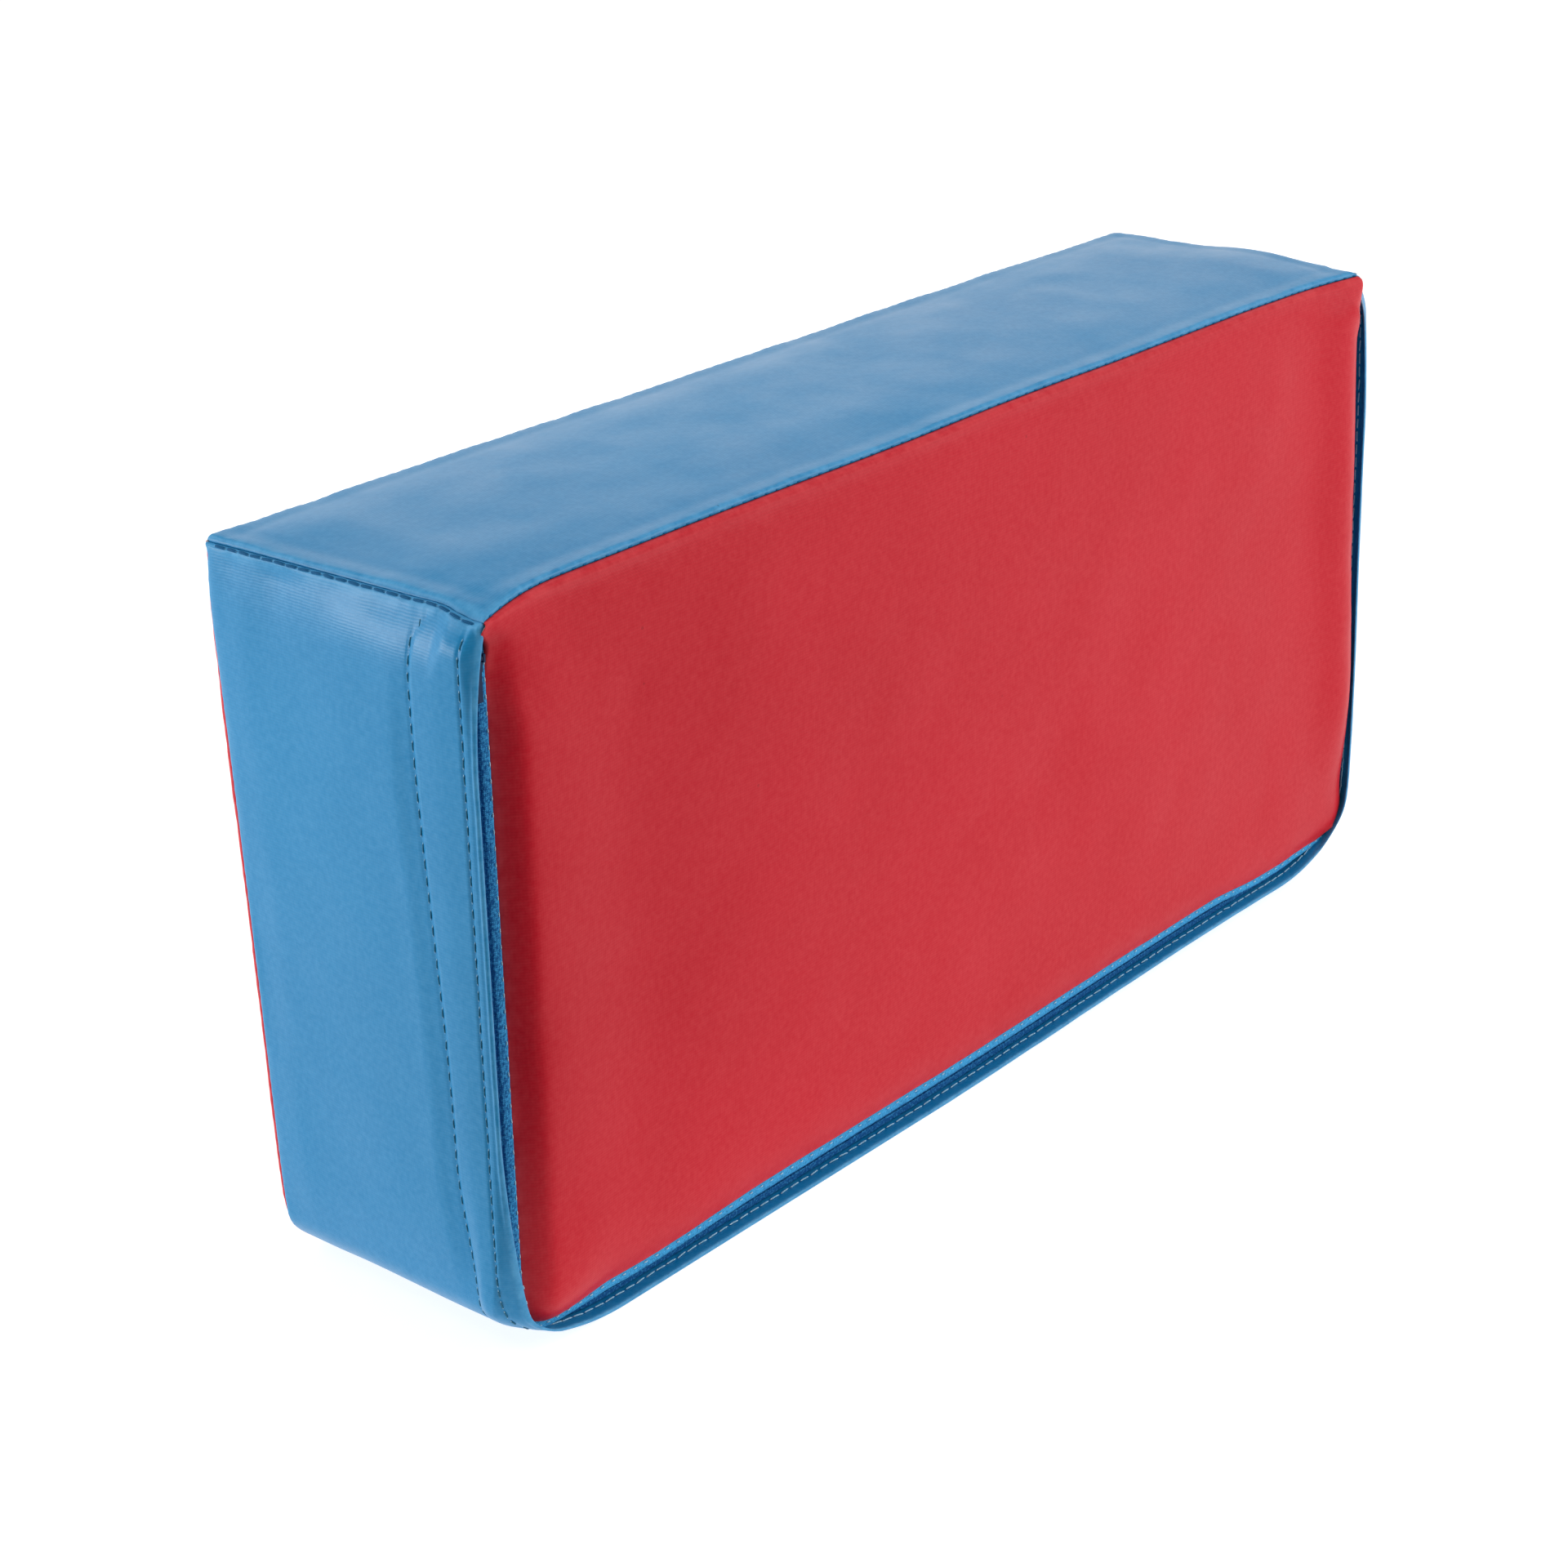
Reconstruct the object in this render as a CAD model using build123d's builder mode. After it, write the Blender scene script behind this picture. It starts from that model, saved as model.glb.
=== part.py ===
from build123d import *
import os

os.makedirs("parts", exist_ok=True)

# Foam block in a removable sewn cover, millimetres.
# X runs along the block, Y from the zip side (-Y) to the back, Z up from the floor.

# Driving dimensions of the closed block
LENGTH = 600.0
HEIGHT = 300.0
DEPTH = 150.0
BOTTOM_RADIUS = 15.0

# Sewn cover
SHEET = 0.8
FIT = 0.1
BODY_GAP = 0.3
LIP = 6.0
HEM = 34.0
ALLOWANCE = 10.0
CROWN = 4.0
FOAM_GAP = 3.0
THREAD = 0.5
GROOVE = 0.3
GROOVE_PLAY = 0.02
PANEL_CORNER = 6.0
CROWN_CORNER = 8.0
LEAST_CORNER = 2.0
END_MARGIN = 1.0

# Distances from the outer face of the band, inwards
PANEL_INSET = 12.0
CHAIN_INSET = 6.2
TAPE_END_BAND = 1.7
TAPE_END_PANEL = 17.0

# Zip
TAPE = 0.6
TAPE_SINK = 0.1
COIL_WIDTH = 1.7
COIL_THICK = 1.8
CHAIN_GAP = 1.2
ZIP_TOP = 288.0
SLIDER_LENGTH = 10.0
SLIDER_WIDTH = 7.0
SLIDER_PLATE = 0.8
SLIDER_TOP = 286.0
PULL_LENGTH = 16.0
PULL_WIDTH = 2.4
PULL_THICK = 0.9
PIN_RADIUS = 0.5
PIN_DROP = 3.5

# Stitch rows on the lip, measured from its free edge
ROW_OUTER = 5.0
ROW_INNER = 33.0

# DEPTH is the whole depth, from the rim of the lip to the top of the back panel's crown. The
# front plane, where the red panel lies, is set back from the rim, and the back plane, where the
# back seam runs, is short of the crown.
BACK_BULGE = SHEET + CROWN
RIM_Y = -DEPTH / 2
FRONT_Y = RIM_Y + LIP
BACK_Y = DEPTH / 2 - BACK_BULGE
BODY_DEPTH = BACK_Y - FRONT_Y
TOP_SHEET_Z = HEIGHT - SHEET
PANEL_TOP_Z = TOP_SHEET_Z - BODY_GAP * 2
HINGE_Z = TOP_SHEET_Z - FIT
SLIDER_X = -LENGTH / 2 + CHAIN_INSET
TAPE_Y = FRONT_Y + TAPE_SINK
COIL_Y = TAPE_Y + TAPE / 2 - COIL_THICK / 2
BAND_ZIP_TOP = SLIDER_TOP - SLIDER_LENGTH - END_MARGIN

# The crown of a panel, as shares of its width and height against shares of its rise
CROWN_STEPS = ((1.0, 1.0, 0.0), (0.93, 0.88, 0.55), (0.78, 0.66, 0.87), (0.5, 0.3, 1.0))


def facing(y):
    """Plane of the block's elevation at depth y, with its normal towards the front."""
    return Plane.XZ.offset(-y)


def u_ring(start, end, top_left, top_right=None):
    """Sketch between two insets of the band's outline, open at the top.

    It has rounded bottom corners and ends at its own height on each side.
    """
    top_right = top_left if top_right is None else top_right
    with BuildSketch() as ring:
        for inset, mode in ((start, Mode.ADD), (end, Mode.SUBTRACT)):
            width = LENGTH - 2 * inset
            height = 2 * HEIGHT
            with BuildSketch(mode=Mode.PRIVATE) as outline:
                with Locations((0, inset + height / 2)):
                    Rectangle(width, height)
                low = outline.vertices().group_by(Axis.Y)[0]
                fillet(low, max(BOTTOM_RADIUS - inset, LEAST_CORNER))
            add(outline.sketch, mode=mode)
        with BuildSketch(mode=Mode.PRIVATE) as window:
            with Locations((-LENGTH / 4, top_left / 2)):
                Rectangle(LENGTH / 2, top_left)
            with Locations((LENGTH / 4, top_right / 2)):
                Rectangle(LENGTH / 2, top_right)
        add(window.sketch, mode=Mode.INTERSECT)
    return ring.sketch


def u_wall(start, end, front_y, back_y, top_left, top_right=None):
    """U-shaped wall between two insets of the band's outline, from front_y back to back_y."""
    with BuildPart() as wall:
        with BuildSketch(facing(back_y)):
            add(u_ring(start, end, top_left, top_right))
        extrude(amount=back_y - front_y)
    return wall.part


def crown(width, height, middle_z, face_y, rise, outwards):
    """Shallow pillow on an upright face; outwards is -1 towards the front and +1 to the back."""
    with BuildPart() as pillow:
        for share_x, share_z, share_rise in CROWN_STEPS:
            with BuildSketch(facing(face_y + outwards * rise * share_rise)):
                with Locations((0, middle_z)):
                    RectangleRounded(width * share_x, height * share_z, CROWN_CORNER)
        loft(ruled=True)
    return pillow.part


# Foam block, softer and a little smaller than the cover, with both large faces crowned
FOAM_LENGTH = LENGTH - 2 * FOAM_GAP
FOAM_TOP = HEIGHT - FOAM_GAP
FOAM_HEIGHT = FOAM_TOP - FOAM_GAP
FOAM_CROWN = FOAM_GAP + CROWN - BODY_GAP
FACE_WIDTH = LENGTH - 2 * TAPE_END_PANEL
FACE_HEIGHT = FOAM_HEIGHT - 2 * TAPE_END_PANEL
FACE_MIDDLE = HEIGHT / 2

front_foam_crown = crown(FACE_WIDTH, FACE_HEIGHT, FACE_MIDDLE, FRONT_Y + FOAM_GAP, FOAM_CROWN, -1)
back_foam_crown = crown(FACE_WIDTH, FACE_HEIGHT, FACE_MIDDLE, BACK_Y - FOAM_GAP, FOAM_CROWN, 1)

with BuildPart() as foam_core:
    with BuildSketch(facing(BACK_Y - FOAM_GAP)):
        with Locations((0, (FOAM_GAP + FOAM_TOP) / 2)):
            foam_outline = Rectangle(FOAM_LENGTH, FOAM_HEIGHT)
        fillet(foam_outline.vertices().group_by(Axis.Y)[0], BOTTOM_RADIUS - FOAM_GAP)
    extrude(amount=BODY_DEPTH - 2 * FOAM_GAP)
    add(front_foam_crown)
    add(back_foam_crown)
foam_core.part.label = "foam_core"
export_step(foam_core.part, "parts/foam_core.step")

# Top sheet, with its seam allowance turned down inside the walls
with BuildPart() as top_panel:
    with BuildSketch(Plane.XY.offset(TOP_SHEET_Z)):
        with Locations((0, (FRONT_Y + BACK_Y) / 2)):
            Rectangle(LENGTH, BODY_DEPTH)
    extrude(amount=SHEET)
    with BuildSketch(Plane.XY.offset(TOP_SHEET_Z)):
        with Locations((0, (FRONT_Y + BACK_Y) / 2)):
            Rectangle(LENGTH - 2 * (SHEET + FIT), BODY_DEPTH - 2 * (SHEET + FIT))
            Rectangle(LENGTH - 4 * SHEET - 2 * FIT, BODY_DEPTH - 4 * SHEET - 2 * FIT, mode=Mode.SUBTRACT)
    extrude(amount=-ALLOWANCE)
top_panel.part.label = "top_panel"
export_step(top_panel.part, "parts/top_panel.step")

# Blue band round the two ends and the bottom. Its front margin is folded in as a hem and
# stands out past the red panel as a lip; two shallow grooves take the topstitching.
HEM_BACK_Y = RIM_Y + HEM
band_outer = u_wall(0, SHEET, RIM_Y, BACK_Y, TOP_SHEET_Z)
band_hem = u_wall(SHEET, 2 * SHEET, RIM_Y, HEM_BACK_Y, TOP_SHEET_Z - ALLOWANCE - FIT)

with BuildPart() as side_band:
    add(band_outer)
    add(band_hem)
    for row in (ROW_OUTER, ROW_INNER):
        row_start = RIM_Y + row
        row_end = row_start + THREAD
        add(u_wall(-END_MARGIN, GROOVE, row_start - FIT, row_end + FIT, HEIGHT), mode=Mode.SUBTRACT)
side_band.part.label = "side_band"
export_step(side_band.part, "parts/side_band.step")

# Thread of the two rows of topstitching, sunk flush in the grooves
for row_name, row in (("row_lip_outer", ROW_OUTER), ("row_lip_inner", ROW_INNER)):
    row_part = u_wall(GROOVE_PLAY, GROOVE - GROOVE_PLAY, RIM_Y + row, RIM_Y + row + THREAD,
                      TOP_SHEET_Z - END_MARGIN)
    row_part.label = row_name
    export_step(row_part, f"parts/{row_name}.step")

# Red back sheet, crowned, with its seam allowance turned forwards inside the band
back_outer_crown = crown(FACE_WIDTH, FACE_HEIGHT, FACE_MIDDLE, BACK_Y + SHEET, CROWN, 1)
back_inner_crown = crown(FACE_WIDTH, FACE_HEIGHT, FACE_MIDDLE, BACK_Y, CROWN, 1)
back_allowance = u_wall(SHEET + FIT, 2 * SHEET + FIT, BACK_Y - ALLOWANCE, BACK_Y,
                        TOP_SHEET_Z - ALLOWANCE - FIT)

with BuildPart() as back_panel:
    with BuildSketch(facing(BACK_Y + SHEET)):
        with Locations((0, TOP_SHEET_Z / 2)):
            back_outline = Rectangle(LENGTH, TOP_SHEET_Z)
        fillet(back_outline.vertices().group_by(Axis.Y)[0], BOTTOM_RADIUS)
    extrude(amount=SHEET)
    add(back_outer_crown)
    add(back_inner_crown, mode=Mode.SUBTRACT)
    add(back_allowance)
back_panel.part.label = "back_panel"
export_step(back_panel.part, "parts/back_panel.step")

# Red front sheet, hung from the top seam and free on the other three sides
PANEL_WIDTH = LENGTH - 2 * PANEL_INSET
PANEL_HEIGHT = PANEL_TOP_Z - PANEL_INSET
PANEL_MIDDLE = (PANEL_TOP_Z + PANEL_INSET) / 2
front_outer_crown = crown(FACE_WIDTH, FACE_HEIGHT, PANEL_MIDDLE, FRONT_Y - SHEET, CROWN, -1)
front_inner_crown = crown(FACE_WIDTH, FACE_HEIGHT, PANEL_MIDDLE, FRONT_Y, CROWN, -1)

with BuildPart() as front_panel:
    with BuildSketch(facing(FRONT_Y)):
        with Locations((0, PANEL_MIDDLE)):
            panel_outline = Rectangle(PANEL_WIDTH, PANEL_HEIGHT)
        fillet(panel_outline.vertices().group_by(Axis.Y)[0], PANEL_CORNER)
    extrude(amount=SHEET)
    add(front_outer_crown)
    add(front_inner_crown, mode=Mode.SUBTRACT)
front_panel.part.label = "front_panel"
export_step(front_panel.part, "parts/front_panel.step")

# Zip tapes. The band's tape is an L in section: one leg lies along the hem and the other
# reaches to the chain. The panel's tape is flat, behind the red edge. The band's tape stops
# below the parked slider on the left.
COIL_BAND_START = CHAIN_INSET - CHAIN_GAP / 2 - COIL_WIDTH
COIL_BAND_END = CHAIN_INSET - CHAIN_GAP / 2
COIL_PANEL_START = CHAIN_INSET + CHAIN_GAP / 2
COIL_PANEL_END = CHAIN_INSET + CHAIN_GAP / 2 + COIL_WIDTH
TAPE_BACK_Y = TAPE_Y + TAPE
TAPE_LEG = 9.0

with BuildPart() as zip_tape_band:
    add(u_wall(TAPE_END_BAND, TAPE_END_BAND + TAPE, TAPE_Y, TAPE_BACK_Y + TAPE_LEG, BAND_ZIP_TOP, ZIP_TOP))
    add(u_wall(TAPE_END_BAND, COIL_BAND_START - FIT, TAPE_Y, TAPE_BACK_Y, BAND_ZIP_TOP, ZIP_TOP))
zip_tape_band.part.label = "zip_tape_band"
export_step(zip_tape_band.part, "parts/zip_tape_band.step")

with BuildPart() as zip_tape_panel:
    add(u_wall(COIL_PANEL_END + FIT, TAPE_END_PANEL, TAPE_Y, TAPE_BACK_Y, ZIP_TOP))
zip_tape_panel.part.label = "zip_tape_panel"
export_step(zip_tape_panel.part, "parts/zip_tape_panel.step")

# The two halves of the coil chain, each a plain bar of the coil's outer size
COIL_PANEL_TOP = SLIDER_TOP + 2 * FIT
COIL_RIGHT_TOP = ZIP_TOP - 4 * END_MARGIN

with BuildPart() as zip_coil_band:
    add(u_wall(COIL_BAND_START, COIL_BAND_END, COIL_Y, COIL_Y + COIL_THICK, BAND_ZIP_TOP, COIL_RIGHT_TOP))
zip_coil_band.part.label = "zip_coil_band"
export_step(zip_coil_band.part, "parts/zip_coil_band.step")

with BuildPart() as zip_coil_panel:
    add(u_wall(COIL_PANEL_START, COIL_PANEL_END, COIL_Y, COIL_Y + COIL_THICK, COIL_PANEL_TOP, COIL_RIGHT_TOP))
zip_coil_panel.part.label = "zip_coil_panel"
export_step(zip_coil_panel.part, "parts/zip_coil_panel.step")

# Thread that sews the panel's tape to the red edge
with BuildPart() as row_panel_tape:
    add(u_wall(PANEL_INSET - FIT - THREAD, PANEL_INSET - FIT, TAPE_Y - THREAD, TAPE_Y,
               ZIP_TOP - END_MARGIN))
row_panel_tape.part.label = "row_panel_tape"
export_step(row_panel_tape.part, "parts/row_panel_tape.step")

# Slider: two plates round the chain, flanges with a slot for each tape, and a thin post that
# joins the plates between the two coils. The loop on the outer plate carries the pull.
SLIDER_Z = SLIDER_TOP - SLIDER_LENGTH / 2
CHANNEL_FRONT_Y = COIL_Y - BODY_GAP
CHANNEL_BACK_Y = COIL_Y + COIL_THICK + BODY_GAP
SLIDER_FRONT_Y = CHANNEL_FRONT_Y - SLIDER_PLATE
SLIDER_CORNER = 1.6
FLANGE = 0.8
FLANGE_LENGTH = SLIDER_LENGTH - 2 * SLIDER_CORNER
POST = 0.6
POST_LENGTH = SLIDER_LENGTH - 2 * END_MARGIN
LOOP_REACH = 2.6
LOOP_WIDTH = 1.0
LOOP_HEIGHT = 3.0
LOOP_X = PULL_WIDTH / 2 + BODY_GAP + LOOP_WIDTH / 2
PIN_Y = SLIDER_FRONT_Y - LOOP_REACH / 2
PIN_Z = SLIDER_TOP - PIN_DROP

with BuildPart() as zip_slider:
    for plate_y in (CHANNEL_FRONT_Y, CHANNEL_BACK_Y + SLIDER_PLATE):
        with BuildSketch(facing(plate_y)):
            with Locations((SLIDER_X, SLIDER_Z)):
                RectangleRounded(SLIDER_WIDTH, SLIDER_LENGTH, SLIDER_CORNER)
        extrude(amount=SLIDER_PLATE)
    with BuildSketch(facing(CHANNEL_BACK_Y)):
        with Locations((SLIDER_X, SLIDER_Z)):
            Rectangle(POST, POST_LENGTH)
    extrude(amount=CHANNEL_BACK_Y - CHANNEL_FRONT_Y)
    for side in (-1, 1):
        flange_x = SLIDER_X + side * (SLIDER_WIDTH - FLANGE) / 2
        with BuildSketch(facing(TAPE_Y - BODY_GAP)):
            with Locations((flange_x, SLIDER_Z)):
                Rectangle(FLANGE, FLANGE_LENGTH)
        extrude(amount=TAPE_Y - BODY_GAP - CHANNEL_FRONT_Y)
        with BuildSketch(facing(CHANNEL_BACK_Y)):
            with Locations((flange_x, SLIDER_Z)):
                Rectangle(FLANGE, FLANGE_LENGTH)
        extrude(amount=CHANNEL_BACK_Y - TAPE_BACK_Y - BODY_GAP)
    for side in (-1, 1):
        with BuildSketch(facing(SLIDER_FRONT_Y)):
            with Locations((SLIDER_X + side * LOOP_X, PIN_Z)):
                Rectangle(LOOP_WIDTH, LOOP_HEIGHT)
        extrude(amount=LOOP_REACH)
    with BuildSketch(Plane.YZ.offset(SLIDER_X - LOOP_X)):
        with Locations((PIN_Y, PIN_Z)):
            Circle(PIN_RADIUS)
    extrude(amount=2 * LOOP_X)
zip_slider.part.label = "zip_slider"
export_step(zip_slider.part, "parts/zip_slider.step")

# Pull: a small leaf that hangs from the slider's pin
EYE_RADIUS = 1.25
with BuildPart() as zip_pull:
    with BuildSketch(Plane.YZ.offset(SLIDER_X - PULL_WIDTH / 2)):
        with Locations((PIN_Y, PIN_Z)):
            Circle(EYE_RADIUS)
        with Locations((PIN_Y, PIN_Z - PULL_LENGTH / 2)):
            Rectangle(PULL_THICK, PULL_LENGTH)
        with Locations((PIN_Y, PIN_Z)):
            Circle(PIN_RADIUS + FIT, mode=Mode.SUBTRACT)
    extrude(amount=PULL_WIDTH)
zip_pull.part.label = "zip_pull"
export_step(zip_pull.part, "parts/zip_pull.step")

# Stops: one above the panel coil's upper end on the left, one across both coils on the right
STOP_HEIGHT = 1.8
STOP_CORNER = 0.3
STOPS = (
    ("zip_top_stop", -LENGTH / 2 + (COIL_PANEL_START + COIL_PANEL_END) / 2, COIL_PANEL_TOP, COIL_WIDTH),
    ("zip_end_stop", LENGTH / 2 - CHAIN_INSET, COIL_RIGHT_TOP, 2 * COIL_WIDTH + CHAIN_GAP),
)
for stop_name, stop_x, coil_top, stop_width in STOPS:
    with BuildPart() as stop:
        with BuildSketch(facing(COIL_Y + COIL_THICK)):
            with Locations((stop_x, coil_top + BODY_GAP)):
                RectangleRounded(stop_width, STOP_HEIGHT, STOP_CORNER, align=(Align.CENTER, Align.MIN))
        extrude(amount=COIL_THICK)
    stop.part.label = stop_name
    export_step(stop.part, f"parts/{stop_name}.step")

# Thread bars that close the two ends of the opening, from the lip towards the red edge
TACK_START = 2 * SHEET + FIT
TACK_END = PANEL_INSET - BODY_GAP
TACK_HEIGHT = 1.2
TACK_CORNER = 0.4
TACK_THICK = 0.8
TACK_Z = ZIP_TOP + 2.5

with BuildPart() as bar_tacks:
    for side in (-1, 1):
        middle = side * (LENGTH / 2 - (TACK_START + TACK_END) / 2)
        with BuildSketch(facing(TAPE_Y)):
            with Locations((middle, TACK_Z)):
                RectangleRounded(TACK_END - TACK_START, TACK_HEIGHT, TACK_CORNER)
        extrude(amount=TACK_THICK)
bar_tacks.part.label = "bar_tacks"
export_step(bar_tacks.part, "parts/bar_tacks.step")

# Thread of the turned seams, lying inside the cover against the seam allowances
SEAM_INSET = 2 * SHEET + 2 * FIT
SEAM_DROP = 3.0
SEAM_Z = TOP_SHEET_Z - SEAM_DROP

with BuildPart() as seam_back:
    add(u_wall(SEAM_INSET, SEAM_INSET + THREAD, BACK_Y - SEAM_DROP - THREAD, BACK_Y - SEAM_DROP,
               TOP_SHEET_Z - ALLOWANCE - FIT))
seam_back.part.label = "seam_back"
export_step(seam_back.part, "parts/seam_back.step")

SEAM_SPAN_X = LENGTH - 2 * SEAM_INSET - 4 * THREAD
SEAM_SPAN_Y = BODY_DEPTH - 2 * SEAM_INSET - 4 * THREAD
TOP_SEAMS = (
    ("seam_top_front", (0, FRONT_Y + SEAM_INSET + THREAD / 2), (SEAM_SPAN_X, THREAD)),
    ("seam_top_back", (0, BACK_Y - SEAM_INSET - THREAD / 2), (SEAM_SPAN_X, THREAD)),
    ("seam_top_left", (-LENGTH / 2 + SEAM_INSET + THREAD / 2, (FRONT_Y + BACK_Y) / 2), (THREAD, SEAM_SPAN_Y)),
    ("seam_top_right", (LENGTH / 2 - SEAM_INSET - THREAD / 2, (FRONT_Y + BACK_Y) / 2), (THREAD, SEAM_SPAN_Y)),
)
for seam_name, seam_place, seam_size in TOP_SEAMS:
    with BuildPart() as seam:
        with BuildSketch(Plane.XY.offset(SEAM_Z)):
            with Locations(seam_place):
                Rectangle(*seam_size)
        extrude(amount=THREAD)
    seam.part.label = seam_name
    export_step(seam.part, f"parts/{seam_name}.step")

print("panel hinge at y", FRONT_Y - SHEET, "z", HINGE_Z)
print("pull pin at x", SLIDER_X, "y", PIN_Y, "z", PIN_Z)
print("front plane", FRONT_Y, "back plane", BACK_Y, "rim", RIM_Y)
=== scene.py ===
import itertools
import math

import bpy
import numpy as np
from mathutils import Matrix, Vector


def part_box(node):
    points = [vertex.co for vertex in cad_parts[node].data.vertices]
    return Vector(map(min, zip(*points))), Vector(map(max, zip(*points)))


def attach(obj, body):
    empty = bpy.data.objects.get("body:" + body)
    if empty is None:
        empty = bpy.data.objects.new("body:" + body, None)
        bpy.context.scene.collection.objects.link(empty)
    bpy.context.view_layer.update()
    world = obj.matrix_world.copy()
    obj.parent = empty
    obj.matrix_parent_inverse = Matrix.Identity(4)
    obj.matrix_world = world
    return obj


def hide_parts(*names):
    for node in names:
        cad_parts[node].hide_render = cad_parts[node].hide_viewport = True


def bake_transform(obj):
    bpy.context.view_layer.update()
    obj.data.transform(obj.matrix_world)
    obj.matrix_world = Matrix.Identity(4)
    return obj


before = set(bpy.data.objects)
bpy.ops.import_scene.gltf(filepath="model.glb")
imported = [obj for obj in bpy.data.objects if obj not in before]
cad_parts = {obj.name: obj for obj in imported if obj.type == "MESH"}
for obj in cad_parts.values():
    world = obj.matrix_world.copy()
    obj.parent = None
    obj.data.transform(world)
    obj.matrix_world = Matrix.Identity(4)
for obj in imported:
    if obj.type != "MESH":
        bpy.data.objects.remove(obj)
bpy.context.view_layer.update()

# ======== Sizes, in millimetres. X runs along the block, Y from the zip side (-Y) to the back, Z up.
MM = 0.001


def span(node, axis):
    """Lowest and highest place of a CAD node along one axis, in millimetres."""
    low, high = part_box(node)
    return low[axis] / MM, high[axis] / MM


LEFT, RIGHT = span("side_band", 0)
RIM, BACK = span("side_band", 1)
FRONT = span("top_panel", 1)[0]
TOP = span("top_panel", 2)[1]
HALF = (RIGHT - LEFT) / 2
PANEL_INSET = span("front_panel", 0)[0] - LEFT
DEPTH = BACK - RIM
CORNER = 15.0           # radius of the band's two bottom corners
SHEET = 0.7             # coated vinyl
ROLL = 1.8              # radius of a sheet where it turns into a seam
TURN = math.radians(115)
ROLL_LENGTH = ROLL * TURN
SEAM_IN = ROLL * (1 - math.cos(TURN))          # how far a seam lies in from the sharp corner
ROLL_REACH = ROLL * math.sin(TURN) + SEAM_IN   # where the roll starts, from the sharp corner
TINY = 1e-6
CAD_SHEET = 0.8         # the sheets of the CAD model
FLOOR_GAP = 0.02        # the lowest point of the cover
STITCH = 6.4            # pitch of the machine stitches
STEP = STITCH / 3       # grid step along a seam
BAND_STEP = 1.4 * STEP  # the band has many rows across its folded section, so fewer along it
THREAD_CORE = 0.02      # keeps the ends of a thread from closing to a point
THREAD_SAG = 0.35       # how far a thread stands up in its middle, of its radius
VINYL_WEAVE = 1.1       # pitch of the weave that shows through the coating
WAVE_BANDS = 20         # a Wave texture of scale 1 has 20 bands in 2 pi


# ======== Small numeric helpers
def smooth(t):
    """0 below 0, 1 above 1, with a smooth step between."""
    t = np.clip(t, 0.0, 1.0)
    return t * t * (3 - 2 * t)


def fade(distance, reach, power=2.0):
    """1 at distance 0, falling to 0 at reach."""
    return np.clip(1 - np.abs(distance) / reach, 0.0, 1.0) ** power


def stacked(*parts):
    """Arrays of any shapes that go together, as the last axis of one array."""
    return np.stack(np.broadcast_arrays(*parts), -1)


def bump(t, middle, width):
    return np.exp(-(((t - middle) / width) ** 2))


LATTICE = 64


def noise(a, b, size_a, size_b, seed):
    """Smooth value noise from -1 to 1 over two coordinates, with its own cell size in each."""
    table = np.random.default_rng(seed).uniform(-1, 1, (LATTICE, LATTICE))
    a, b = np.broadcast_arrays(np.asarray(a, float) / size_a + 31.7, np.asarray(b, float) / size_b + 17.3)
    ia, ib = np.floor(a).astype(int), np.floor(b).astype(int)
    fa, fb = a - ia, b - ib
    fa, fb = fa * fa * fa * (fa * (fa * 6 - 15) + 10), fb * fb * fb * (fb * (fb * 6 - 15) + 10)
    at = lambda i, j: table[i % LATTICE, j % LATTICE]
    low = at(ia, ib) * (1 - fa) + at(ia + 1, ib) * fa
    high = at(ia, ib + 1) * (1 - fa) + at(ia + 1, ib + 1) * fa
    return low * (1 - fb) + high * fb


def puckers(along, away, seed, height, reach, spacing):
    """Short folds that run in from a seam: finer near it, fewer farther in."""
    near = noise(along + 0.15 * away, away, spacing * 0.45, 60.0, seed) * np.exp(-away / (0.3 * reach))
    far = noise(along - 0.25 * away, away, spacing, 90.0, seed + 1) * np.exp(-away / reach)
    rise = smooth(away / 3.0)
    return height * rise * (0.55 * near + 0.75 * far)


def clear_of(reach, *distances):
    """0 where any of the distances is 0, 1 where all of them are past reach."""
    share = 1.0
    for distance in distances:
        share = share * smooth(distance / reach)
    return share


def needle_holes(along):
    """1 at each needle hole of a row of stitches, 0 between."""
    return 0.5 + 0.5 * np.cos(2 * math.pi * along / STITCH)


def scallops(along, away):
    """The sheet is drawn in at each needle hole of a seam."""
    return 0.22 * needle_holes(along) * bump(away, 2.0, 2.2)


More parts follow.
